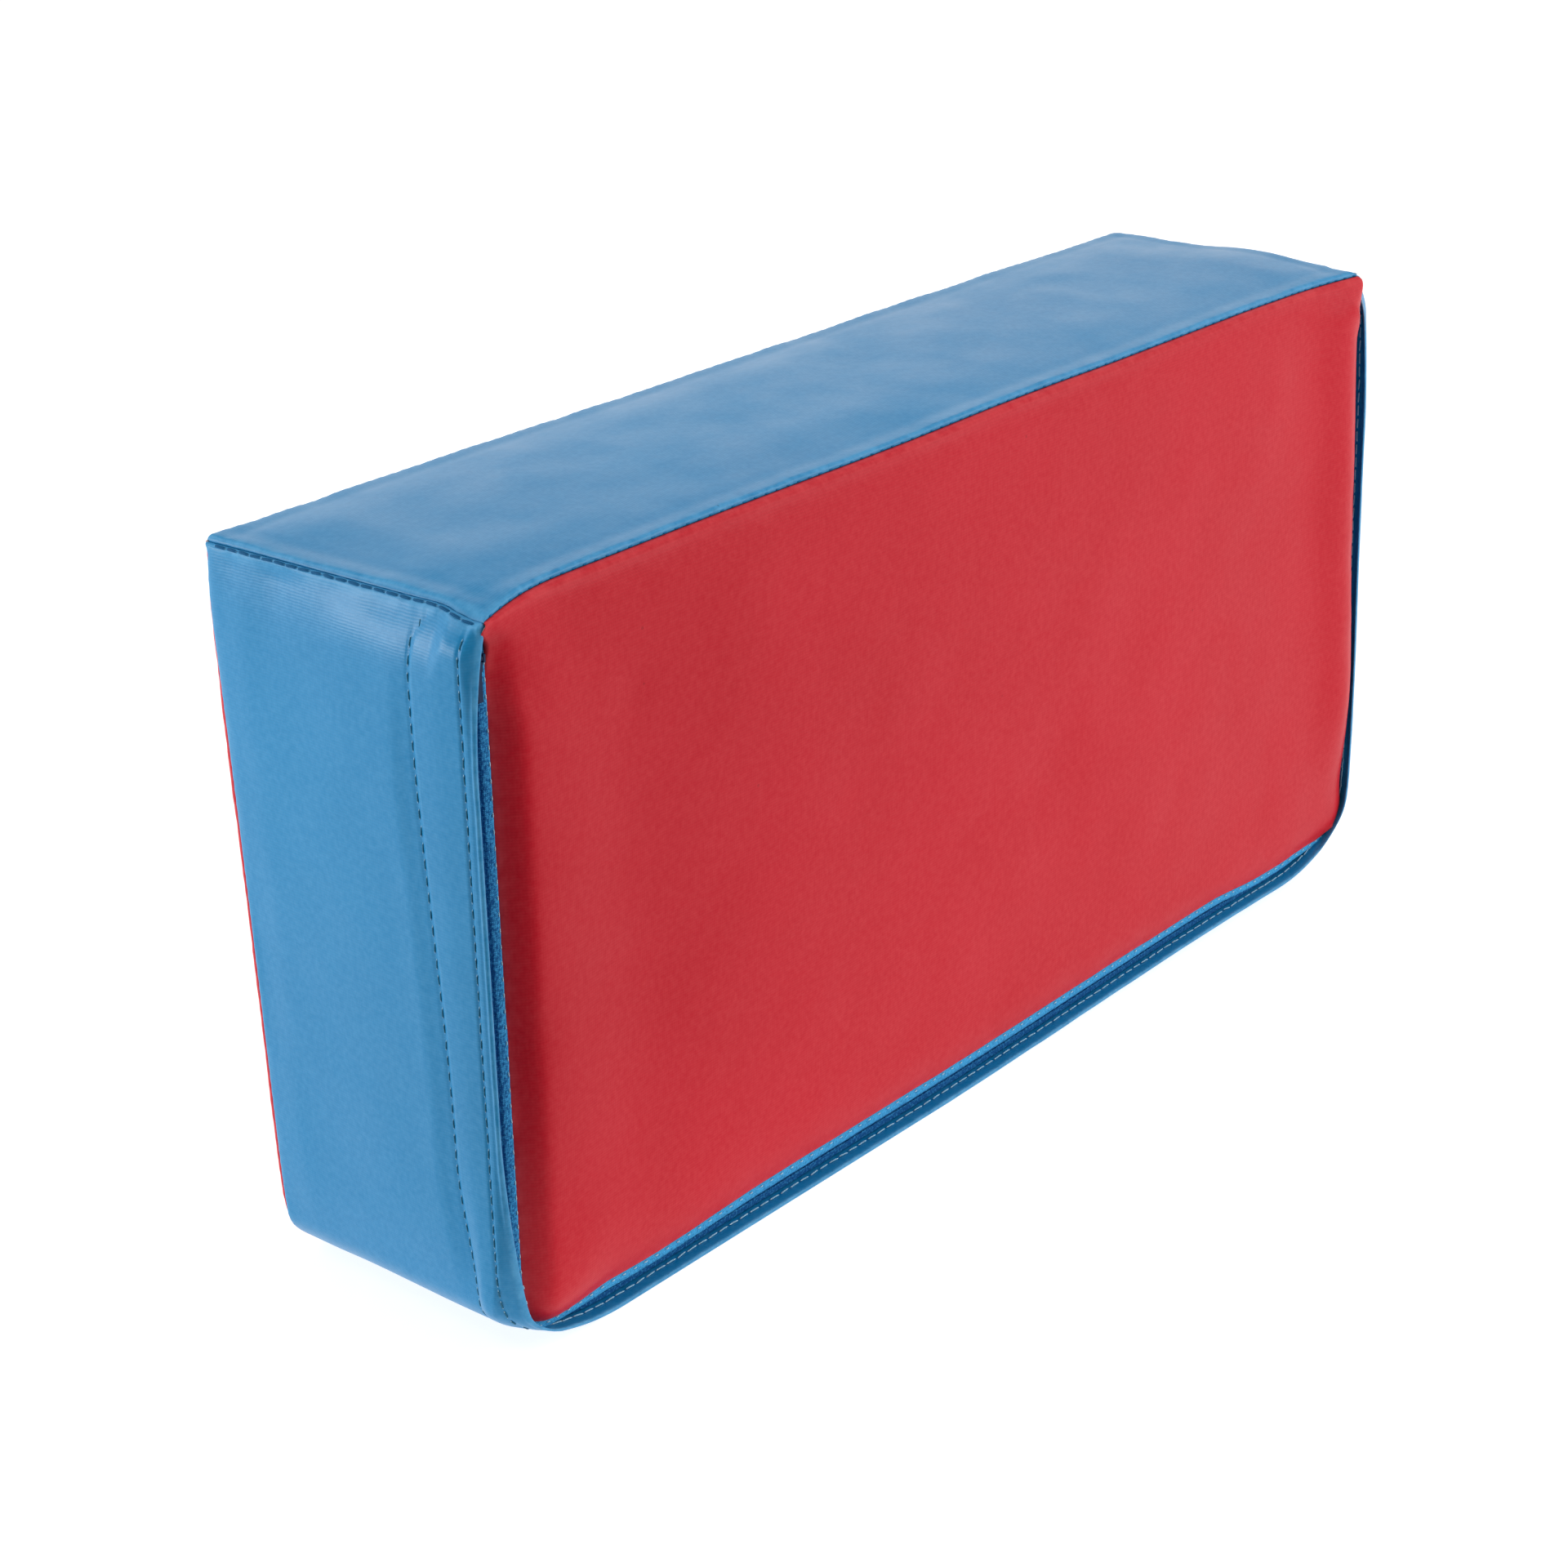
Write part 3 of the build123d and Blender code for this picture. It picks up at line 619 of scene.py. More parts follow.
def front_surface(u, v):
    """Points of the front sheet. u runs 0 to 1 from left to right, v is the arc from the top seam down."""
    from_top, from_foot = v, FRONT_ARC - v
    # height: seam roll above, hem below
    down, sink = seam_turn(from_top)
    foot_place, foot_drop = hem(from_foot)
    z = np.where(from_foot < from_top, PANEL_FOOT + foot_place, TOP - down)
    # the side edges: out to the seam's corners at the top, hemmed below, rounded at the foot
    to_left_corner, to_right_corner = smooth((z - (TOP - 15)) / 11), smooth((z - (TOP - 20)) / 17)
    left_edge = (PANEL_LEFT + to_left_corner * (LEFT + SEAM_IN - PANEL_LEFT)
                 + 1.5 * fade(z - PANEL_FOOT, 12, 1.0) ** 2)
    right_edge = (PANEL_RIGHT + 1.5 * smooth((z - 40) / 60) + 4.3 * bump(z, 84, 64) * smooth((z - 12) / 30)
                  - 2.0 * smooth((z - 190) / 70))
    right_edge = (right_edge + to_right_corner * (RIGHT - SEAM_IN - right_edge) + 6.6 * fade(z, 80, 1.0)
                  + 3.5 * bump(z, 18, 16) - 1.5 * fade(z - PANEL_FOOT, 13, 1.0) ** 2)
    width = right_edge - left_edge
    arc_left, arc_right = u * width, (1 - u) * width
    place_l, drop_l = hem(arc_left)
    place_r, drop_r = hem(arc_right)
    x = np.where(u < 0.5, left_edge + place_l, right_edge - place_r)
    edge_drop = np.maximum(drop_l, drop_r) * (1 - smooth((z - (TOP - 12)) / 10))
    drop = np.maximum(np.maximum(edge_drop, foot_drop), sink)
    # crown
    left_rise = 1 - np.log(1 + np.exp(9.0 * (1 - arc_left / 10.5))) / 9.0
    right_rise = 1 - np.exp(-((arc_right / 6.0) ** 1.3))
    foot_rise = 1 - np.exp(-((from_foot / 8.0) ** 1.3))
    top_rise = 1 - np.exp(-((from_top / 7.0) ** 1.4))
    edges = left_rise * right_rise * foot_rise * top_rise
    fuller = 4.8 * bump(arc_left, 13, 38) * smooth((from_top - 8) / 40) * left_rise * foot_rise
    broad = 2.0 * clear_of(150, arc_left, arc_right) * clear_of(90, from_foot, from_top)
    crown = 3.6 * edges + fuller + broad
    deeper = 1.6 * bump(arc_left, 0, 8) * smooth(from_top / 40)
    right_bulge = 4.4 * bump(arc_right, 10, 20) * smooth((z - 30) / 60) * smooth((TOP - z) / 20)
    folds = (puckers(arc_left, from_top, 51, 0.5, 18, 14) + puckers(v, arc_left, 61, 0.75, 20, 16)
             + puckers(v, arc_right, 71, 0.45, 16, 15) + puckers(arc_left, from_foot, 81, 0.45, 18, 18))
    folds = folds * clear_of(4, arc_left, arc_right) * smooth(from_top / 5)
    waves = (0.7 * noise(x, z, 85, 70, 91) + 0.3 * noise(x, z, 33, 30, 92)) * smooth(from_foot / 30)
    waves = waves * clear_of(35, arc_left, arc_right, from_top)
    dents = sum(depth * bump(np.hypot(x - dx, z - dz), 0, radius) for dx, dz, radius, depth in DENTS)
    crease = 0.9 * bump(x + 0.55 * (z - 280), 284, 2.6) * bump(z, 280, 12)
    tuck = scallops(arc_left, from_top)
    hem_pull = 0.25 * needle_holes(v) * bump(arc_left, 1.5, 2.5)
    y = PANEL_FACE + drop - crown + deeper - right_bulge - folds - waves + dents - crease + tuck + hem_pull
    # the lower right corner stands forward, level with the rim
    y = y - 4.2 * fade(arc_right, 30) * fade(from_foot, 34)
    # the foot hangs down to the closing lip at both ends, with a round corner at the right
    z = z - foot_sag(x) * fade(z - PANEL_FOOT, 70, 1.4)
    round_x, round_z = round_corner(x, z, HALF - 24, 22)
    x, z = np.where(x > 0, round_x, x), np.where(x > 0, round_z, z)
    # the upper corners follow the flare of the seam
    y = y + 0.8 * (1 - smooth(from_top / 6))
    y = y - flare(x) * fade(from_top, 34, 1.4)
    points = stacked(x, y, z)
    near_edge = np.minimum(np.minimum(arc_left, arc_right), np.minimum(from_foot, from_top))
    return warp(points), near_edge + 0 * z


FRONT_ARC = (TOP - PANEL_FOOT) - ROLL_REACH + ROLL_LENGTH - HEM_ROLL + HEM_LENGTH
across_front = PANEL_RIGHT - PANEL_LEFT
hem_steps = np.linspace(0, HEM_LENGTH, 5)
middle_u = np.linspace(HEM_LENGTH, across_front - HEM_LENGTH, int(round(across_front / STEP)))
u_axis = np.concatenate([hem_steps[:-1], middle_u, across_front - hem_steps[:-1][::-1]]) / across_front
roll = np.linspace(0, ROLL_LENGTH, 8)
v_axis = np.concatenate([roll[:-1], steps(ROLL_LENGTH, FRONT_ARC - HEM_LENGTH, 1.2, 3.2, 30),
                         FRONT_ARC - hem_steps[:-1][::-1]])
grid, near = front_surface(u_axis[:, None], v_axis[None, :])
uv = stacked(u_axis[:, None] * across_front, v_axis[None, :])
# rubbed wear and a painted highlight along the hemmed and sewn edges
wear_and_painted_highlight = bump(near, 2.0, 2.0)
front_sheet = sheet_piece("front_sheet", grid, uv, (0, -1, 0), wear_and_painted_highlight)


# ======== Back sheet: sewn on all four sides
def back_surface(u, v):
    """Points of the back sheet's outer face, and how near a seam is, by arc from the left and the foot."""
    px, drop_x, near_x = across(u, SPAN_X)
    pz, drop_z, near_z = across(v, TOP)
    x, z = LEFT + px, pz
    from_foot, from_top = v, full_length(TOP) - v
    drop = joined_drop(drop_x, drop_z)
    near = np.minimum(near_x, near_z)
    side_puff = 3.9 * (1 - np.exp(-np.maximum(near_x - ROLL_LENGTH * 0.6, 0) / 3.6))
    crown = side_puff * smooth((near_z - 4) / 40) + 6.2 * smooth(near_x / 190) * smooth(near_z / 120)
    folds = (puckers(u, from_top, 111, 0.5, 18, 15) + puckers(u, from_foot, 121, 0.5, 18, 16)
             + puckers(v, near_x, 131, 0.6, 20, 15)) * clear_of(4, near_x, near_z)
    waves = (0.8 * noise(x, z, 80, 70, 141) + 0.35 * noise(x, z, 30, 28, 142)) * smooth(near / 30)
    tuck = scallops(u, near_z) * smooth(near_x / 6) + scallops(v, near_x) * smooth(near_z / 6)
    y = BACK - drop + crown + folds + waves - tuck
    # the sheet rolls out past the band at both ends
    rolled = bump(near_x, 3.0, 2.6) * smooth(near_x / 1.5) * smooth(from_foot / 24) * smooth(from_top / 90)
    x = x + np.sign(x) * 1.25 * rolled
    # the two lower corners follow the band
    x, z = round_corner(x, z, HALF - CORNER, CORNER)
    points = stacked(x, y, z)
    return warp(points), near + 0 * y


total_z = full_length(TOP)
arc_z = roll_samples(total_z, steps(ROLL_LENGTH, total_z - ROLL_LENGTH, 1.2, 3.6, 26))[None, :]
grid, near = back_surface(arc_x, arc_z)
uv = stacked(arc_x, arc_z)
# rubbed wear and a painted highlight along the seam rolls
wear_and_painted_highlight = bump(near, 2.4, 2.0)
back_sheet = sheet_piece("back_sheet", grid, uv, (0, 1, 0), wear_and_painted_highlight)

# ======== The band round the two ends and the bottom
RUN_UP = TOP - CORNER
ARC = math.pi / 2 * CORNER
RUN_FOOT = SPAN_X - 2 * CORNER
PATH = 2 * RUN_UP + 2 * ARC + RUN_FOOT


def from_end(p):
    """Distance along the band from the nearer of its two top seams."""
    return np.minimum(p, PATH - p)


def on_path(p, inset):
    """Place in x and z at distance p along the band's outer line, inset from it, and its outward normal."""
    p, inset = np.broadcast_arrays(np.asarray(p, float), np.asarray(inset, float))
    q = from_end(p)
    radius = np.maximum(CORNER - inset, 1.0)
    cx, cz = -HALF + inset + radius, inset + radius
    angle = np.clip((q - RUN_UP) / CORNER, 0, math.pi / 2)
    x = np.where(q < RUN_UP, -HALF + inset, cx - radius * np.cos(angle))
    z = np.where(q < RUN_UP, TOP - q, cz - radius * np.sin(angle))
    z = np.where((q < RUN_UP) & (z < cz), cz, z)
    foot = q > RUN_UP + ARC
    x = np.where(foot, np.maximum(-HALF + CORNER + (q - RUN_UP - ARC), cx), x)
    nx, nz = -np.cos(angle), -np.sin(angle)
    mirror = p > PATH / 2
    return np.where(mirror, -x, x), z, np.where(mirror, -nx, nx), nz


def inner_row_place(p):
    """Distance of the inner row of stitches behind the rim."""
    q = from_end(p)
    return 23.5 + 8.0 * (1 - smooth((q - 40) / 170)) - 11.0 * fade(q, 15, 1.3) - 4.0 * smooth((q - 215) / 60)


def outer_row_place(p):
    q = from_end(p)
    return 5.7 - 2.0 * fade(q, 14, 1.3)


def band_place(p, o, depth):
    """Warped place on the band: p along it, o behind the rim, depth in from its outer line."""
    x, z, _, _ = on_path(p, depth)
    y = RIM + o + 0 * x
    tucked = 1.6 * fade(TOP - z, 24) * smooth((TOP - z - 2.4) / 4) * at_ends(x)
    inward = lean(x, z, y - RIM) + tucked
    # the rim ends at the front corners of the top sheet
    y = y + np.where(x < 0, 1.1, 3.2) * fade(TOP - z, 20) * fade(np.maximum(y - RIM, 0), 16, 1.2)
    x = x - np.sign(x) * inward
    lip_lift = 4.0 * fade(HALF - np.abs(x), 50) * fade(np.maximum(y - RIM, 0), 14, 1.2) * fade(z, 40)
    z = z + lip_lift
    return warp(stacked(x, y, z))


def band_depth(p, o):
    """Depth of the band's outer face below its nominal line: grooves of the stitching, folds, crown."""
    q = from_end(p)
    inner, outer = inner_row_place(p), outer_row_place(p)
    groove = (0.55 * bump(o, inner, 0.9) + 0.65 * bump(o, outer, 0.8)) * (0.7 + 0.5 * needle_holes(p))
    double = -0.45 * smooth((inner - 1.0 - o) / 1.6)                # two layers in front of the inner row
    puff = -0.55 * bump(o, (inner + outer) / 2, (inner - outer) / 2.6)
    fold = 0.35 * bump(o, 1.9, 0.5)
    wall = smooth((o - inner) / 12) * smooth((DEPTH - o) / 25)
    upright = smooth(q / 30) * (1 - smooth((q - RUN_UP + 30) / 40))
    crown = -1.6 * wall * upright * smooth(q / 70)
    ripple = (puckers(o, q, 151, 1.25, 30, 14) * smooth((o - inner) / 6) + puckers(o, q, 155, 0.4, 20, 11)
              + puckers(p, DEPTH - o, 161, 0.45, 18, 16) + puckers(p, np.abs(o - inner), 171, 0.22, 9, 12)
              + 0.16 * noise(p, o, 14, 30, 175) * fade(o, 22, 1.0))
    waves = (0.5 * noise(p, o, 75, 50, 181) + 0.22 * noise(p, o, 26, 24, 182)) * smooth((o - inner) / 20)
    return (groove + double + puff + fold - ripple - waves) * smooth((q - SEAM_IN - 0.3) / 4) + crown


band_total = full_length(PATH)
middle_s = np.linspace(ROLL_LENGTH, band_total - ROLL_LENGTH, int(round(PATH / BAND_STEP)) + 1)
s_axis = roll_samples(band_total, middle_s, 7)
p_axis, p_drop, s_near = across(s_axis, PATH)

# Section, from the back seam to the rim, round it, and back inside as the hem
RIM_ROLL = 0.85         # radius of the fold at the rim
HEM_DEEP = 34.0         # how far the hem reaches back inside
BAND_THICK = 0.6
TAPE_THICK = 0.45
section = []
for place, drop in zip(*seam_turn(np.linspace(0, ROLL_LENGTH, 7))):
    section.append((DEPTH - place, drop, 1.0))
# runs of the wall with their steps: finest over the stitching and the rim
for start, end, step in ((DEPTH - ROLL_REACH - 1.3, DEPTH - 24, -1.7), (DEPTH - 24, 42, -4.2),
                         (42, 18, -0.85), (18, 9.5, -1.4), (9.5, 0.95, -0.5)):
    section += [(o, 0.0, 1.0) for o in np.arange(start, end, step)]
for turn in np.linspace(0, math.pi, 8):
    section.append((RIM_ROLL * (1 - math.sin(turn)) + 0.05, RIM_ROLL * (1 - math.cos(turn)),
                    0.5 + 0.5 * math.cos(turn)))
for o in (*np.arange(1.6, 10, 1.0), *np.arange(10, HEM_DEEP, 3.0), HEM_DEEP):
    section.append((o, 2 * RIM_ROLL, 0.0))
o_axis, sink_axis, outer_share = np.array(section).T
section_arc = np.concatenate([[0], np.cumsum(np.hypot(np.diff(o_axis), np.diff(sink_axis)))])
outer_share, hem_share = outer_share[None, :], 1 - outer_share[None, :]

behind = o_axis[None, :]
# the hem inside ends a little below the top seam
hem_short = 3.4 * hem_share * fade(from_end(p_axis)[:, None], 16, 1.0)
along = p_axis[:, None] + np.where(p_axis[:, None] < PATH / 2, hem_short, -hem_short)
seam_roll = joined_drop(p_drop[:, None], np.where(behind > DEPTH - ROLL_REACH, sink_axis[None, :], 0.0))
inside = np.where(behind > DEPTH - ROLL_REACH, 0.0, sink_axis[None, :])
detail = band_depth(along, behind) * smooth((DEPTH - SEAM_IN - behind) / 5)
groove_inside = -0.25 * bump(behind, outer_row_place(along), 0.8) * hem_share
scallop = scallops(along, DEPTH - behind) + scallops(behind, s_near[:, None])
depth = seam_roll + inside + detail * outer_share + groove_inside + scallop * outer_share
band_grid = band_place(along, behind, depth)
uv = stacked(section_arc[None, :], s_axis[:, None])
edge_near = np.minimum(s_near[:, None], DEPTH - behind)
# rubbed wear and a painted highlight along the seam rolls and on the fold of the rim
wear_and_painted_highlight = bump(edge_near, 2.4, 2.0) + bump(behind, 0.4, 0.9)
# the grid's middle lies under the block, so its outer face looks down there
band_sheet = sheet_piece("band_sheet", band_grid, uv, (0, 0, -1), np.clip(wear_and_painted_highlight, 0, 1), thick=BAND_THICK)


# ======== Zip: two woven tapes and the two halves of a reverse coil behind them
def rounded_path(points, radius=0.5, count=4):
    """A polyline in inset and place with its corners rounded a little."""
    out = [points[0]]
    for before, here, after in zip(points[:-2], points[1:-1], points[2:]):
        a, b, c = (np.array(v, float) for v in (before, here, after))
        r = min(radius, np.linalg.norm(a - b) * 0.45, np.linalg.norm(c - b) * 0.45)
        start, end = b + (a - b) / np.linalg.norm(a - b) * r, b + (c - b) / np.linalg.norm(c - b) * r
        for t in np.linspace(0, 1, count):
            out.append(tuple((1 - t) ** 2 * start + 2 * t * (1 - t) * b + t * t * end))
    out.append(points[-1])
    return np.array(out)


def sagging(points, share):
    """Lowers zip points along the foot with the red sheet."""
    points = points.copy()
    low = fade(np.maximum(points[..., 2] - PANEL_FOOT, 0), 40, 1.4)
    points[..., 2] = np.maximum(points[..., 2] - share * foot_sag(points[..., 0]) * low, 0.8)
    return points


def tape(name, profile, painted_light_by_inset, ends, ripple, share):
    """A ribbon that follows the band's inside. profile: inset and place behind the rim; then the painted
    light and shade by inset.
    share is how far it sags with the red sheet."""
    line = rounded_path(profile)
    p = np.linspace(ends, PATH - ends, int((PATH - 2 * ends) / 1.6))[:, None]
    inset, place = line[:, 0][None, :], line[:, 1][None, :]
    place = place + ripple * noise(p, inset, 9, 3, 301) + 0.5 * ripple * np.cos(2 * math.pi * p / STITCH)
    toward_panel = smooth((inset - 2.5) / 8.0)
    grid = sagging(band_place(p, place, inset + 0 * p), share * toward_panel)
    arc = np.concatenate([[0], np.cumsum(np.linalg.norm(np.diff(line, axis=0), axis=1))])
    uv = stacked(p, arc[None, :])
    foot_run = smooth((from_end(p) - RUN_UP + 10) / 20)
    # painted light and shade: paler along the foot, where light from above reaches, darker up the two ends,
    # and a painted highlight along the red sheet's edge
    tone = np.interp(inset, *painted_light_by_inset) * (0.45 + 0.55 * foot_run) + 0.5 * bump(inset, 12.0, 0.5)
    # painted light on the band tape inside the right lip, which lies in deep shade
    tone = tone + 0.7 * smooth((p - PATH + RUN_UP) / 40) * (inset < 6.3)
    piece = sheet_piece(name, grid, uv, (0, -1, 0), tone, thick=TAPE_THICK)
    piece.data.attributes["wear_and_painted_highlight"].name = "tone"
    return piece, arc[-1]


ZIP_TOP_GAP = 9.0       # the tapes start this far below the top seams
BEAD_PLACE, BEAD_INSET = 4.8, 11.5      # the panel tape's bead, behind the rim and in from the band
# the listed tones are painted light and shade: paler on the standing bead, darker in the recesses by the
# coil and under the lip
band_tape, band_tape_width = tape(
    "band_tape", ((2.0, 17.0), (2.0, 8.4), (2.9, 6.9), (5.9, 6.6), (6.15, 7.3)),
    ((1.9, 2.4, 3.4, 5.6, 6.1), (0.35, 0.3, 0.05, 0.05, 0.25)), ZIP_TOP_GAP, 0.08, 0.8)
panel_tape, panel_tape_width = tape(
    "panel_tape",
    ((6.45, 7.3), (6.7, 6.55), (7.6, 6.3), (8.2, 5.3), (10.0, 4.7), (11.8, 5.0), (13.4, 6.2), (16.6, 7.0)),
    ((6.4, 7.0, 7.8, 8.3, 11.8, 12.6), (0.1, 0.0, 0.0, 0.85, 0.95, 0.6)), ZIP_TOP_GAP, 0.10, 1.0)


COIL_PITCH, COIL_TOP_GAP = 1.5, 14.0


def coil_half(name, inset_low, inset_high, place):
    """The loops of one half of the coil."""
    p = np.arange(COIL_TOP_GAP, PATH - COIL_TOP_GAP, COIL_PITCH)
    share = smooth((inset_low - 2.5) / 8.0)

    def at(along, inset):
        return sagging(band_place(along, place + 0 * p, inset + 0 * p), share)

    low, high = at(p, inset_low), at(p, inset_high)
    ahead = at(p + 0.5, inset_low) - low
    lean_over = 0.22 * np.linalg.norm(high - low, axis=1, keepdims=True)
    along = unit(ahead)
    direction = high - low + along * lean_over
    up = np.cross(along, direction)
    up = np.where((up[:, 1] > 0)[:, None], up, -up)
    return capsules(name, (low + high) / 2, direction, up, 1.9, 0.42, rings=2, segments=6)


band_coil = coil_half("band_coil", 3.9, 5.7, 7.9)
panel_coil = coil_half("panel_coil", 6.8, 8.6, 7.9)


# ======== Stitches
def stitch_row(name, surface, a, b, step, outwards, seed, length=4.7, radius=0.32, lift=0.02):
    """Capsules along a curve a, b on a surface. step points along the row, in the surface's parameters."""
    a, b = np.broadcast_arrays(np.asarray(a, float), np.asarray(b, float))
    step_a, step_b = step
    along = surface(a + step_a, b + step_b) - surface(a - step_a, b - step_b)
    other = surface(a - step_b, b + step_a) - surface(a + step_b, b - step_a)
    normal = unit(np.cross(along, other))
    normal = normal * np.sign((normal * outwards).sum(-1, keepdims=True))
    draw = np.random.default_rng(seed)
    along = unit(along) + draw.normal(0, 0.04, along.shape)
    lengths = length * draw.uniform(0.92, 1.05, len(a))
    return capsules(name, surface(a, b) + normal * lift, along, normal, lengths, radius, flat=0.75)


ALONG_A, ALONG_B = (1.0, 0.0), (0.0, 1.0)
FORWARD = (0.0, -1.0, 0.0)


def on_band(p, o):
    return band_place(p, o, band_depth(p, o))


def on_hem(p, o):
    return band_place(p, o, 2 * RIM_ROLL + 0.1 + 0 * p)


def on_panel_tape(p, inset):
    """The woven bead of the panel tape, beside the red edge."""
    return sagging(band_place(p, BEAD_PLACE + 0 * p, inset), 1.0)


def on_end_seam(p, o):
    """The band's face just under its top seams. p is the arc length from the seam."""
    place, drop, _ = across(p, PATH)
    return band_place(place, o, drop)


def on_back_seam(p, arc):
    """The band's face where it turns into the back seam. arc is the arc length from the seam."""
    angle = (ROLL_LENGTH - arc) / ROLL
    return band_place(p, DEPTH - (ROLL_REACH - ROLL * np.sin(angle)), ROLL * (1 - np.cos(angle)))


def on_top(a, b):
    return top_surface(a, b)[0]


row_p = np.arange(STITCH * 1.5, PATH - STITCH, STITCH)
path_out = np.stack([on_path(row_p, 0)[2], 0 * row_p, on_path(row_p, 0)[3]], -1)
inner_row = stitch_row("lip_inner_row", on_band, row_p, inner_row_place(row_p), ALONG_A, path_out, 3)
outer_row = stitch_row("lip_outer_row", on_band, row_p, outer_row_place(row_p), ALONG_A, path_out, 4)
hem_row = stitch_row("lip_hem_row", on_hem, row_p, outer_row_place(row_p) - 0.1, ALONG_A, -path_out, 5,
                     length=5.7, radius=0.36)
dot_p = np.arange(20.0, PATH - 20.0, STITCH)
panel_stitches = stitch_row("panel_row", on_panel_tape, dot_p, BEAD_INSET, ALONG_A, FORWARD, 11,
                            length=2.0, radius=0.28)

SEAM_ARC = 0.8          # how far from a seam its stitches show
seam_x = np.arange(STITCH, full_length(SPAN_X) - STITCH / 2, STITCH)
seam_kind = dict(length=2.4, radius=0.32)
front_seam = stitch_row("seam_thread_front", on_top, seam_x, SEAM_ARC, ALONG_A, (0, -1.0, 1.0), 6,
                        **seam_kind)
back_seam = stitch_row("seam_thread_back", on_top, seam_x, total_y - SEAM_ARC, ALONG_A,
                       (0, 1.0, 1.0), 7, **seam_kind)

END_ARC = 1.9           # how far below the top seam its stitches show
end_o = np.arange(6.0, DEPTH - 5.0, STITCH)
end_kind = dict(length=6.9, radius=0.62, lift=0.0)
left_seam = stitch_row("seam_thread_left", on_end_seam, END_ARC, end_o, ALONG_B, (-1.0, 0, 0.6), 8,
                       **end_kind)
right_seam = stitch_row("seam_thread_right", on_end_seam, band_total - END_ARC, end_o, ALONG_B,
                        (1.0, 0, 0.6), 9, **end_kind)
around = stitch_row("seam_thread_round", on_back_seam, row_p, SEAM_ARC, ALONG_A, path_out, 10, length=4.6,
                    radius=0.3)


def bar_tack(name, p, count=9, first=1.9, pitch=1.05, place=5.6):
    """A block of threads across the top of the zip, from the first inset inwards."""
    along = np.arange(count)
    inset = first + pitch * along
    low, high = (band_place(at + 0 * inset, place, inset) for at in (p, p + 2.0))
    arch = 0.4 * np.sin(math.pi * along / (count - 1))
    return capsules(name, low - np.outer(arch, (0, 1, 0)), high - low, [FORWARD] * count, 2.6, 0.55)


TACK_DOWN = 10.5
tack_left = bar_tack("bar_tack_left", TACK_DOWN)
tack_right = bar_tack("bar_tack_right", PATH - TACK_DOWN)

# The crimped wires that stop the slider at the top of the panel's tape
stop_low, stop_high = (np.array(corner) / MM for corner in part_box("zip_top_stop"))
stop_middle, stop_size = (stop_low + stop_high) / 2, stop_high - stop_low
stop_at = [stop_middle + (0, 0, stop_size[2] * share) for share in (-0.28, 0.28)]
top_stop = capsules("top_stop", stop_at, [(1.0, 0, 0)] * 2, [FORWARD] * 2, stop_size[0] * 1.1,
                    stop_size[2] * 0.27, segments=10)


# ======== Foam block
def foam_block(radius=9.0, counts=(50, 14, 26), gap=2.6, zip_gap=4.6, foot_gap=2.4):
    """A cut block with softly rounded edges, following the cover's shape. The gaps are to the cover."""
    low = np.array((LEFT + gap, FRONT + zip_gap, foot_gap))
    high = np.array((RIGHT - gap, BACK - gap, TOP - gap))
    axes = [np.linspace(low[k], high[k], counts[k] + 1) for k in range(3)]
    verts, faces, index = [], [], {}

    def vertex(point):
        key = tuple(np.round(point, 4))
        if key not in index:
            index[key] = len(verts)
            verts.append(point)
        return index[key]

    for k, end in itertools.product(range(3), (0, 1)):
        i, j = [m for m in range(3) if m != k]
        for a, b in itertools.product(range(counts[i]), range(counts[j])):
            corners = []
            for da, db in ((0, 0), (1, 0), (1, 1), (0, 1)):
                point = np.zeros(3)
                point[i], point[j], point[k] = axes[i][a + da], axes[j][b + db], (low, high)[end][k]
                corners.append(vertex(point))
            faces.append(corners if (end == 1) == (k != 1) else corners[::-1])
    verts = np.array(verts)
    inner = np.clip(verts, low + radius, high - radius)
    away = verts - inner
    size = np.maximum(np.abs(away).max(1, keepdims=True), TINY)
    length = np.maximum(np.linalg.norm(away, axis=1, keepdims=True), TINY)
    verts = inner + away * size / length
    verts[:, 1] -= 0.5 * noise(verts[:, 0], verts[:, 2], 60, 60, 401) * (verts[:, 1] < 0)
    return make_mesh("foam_block", warp(verts), faces)


foam = foam_block()

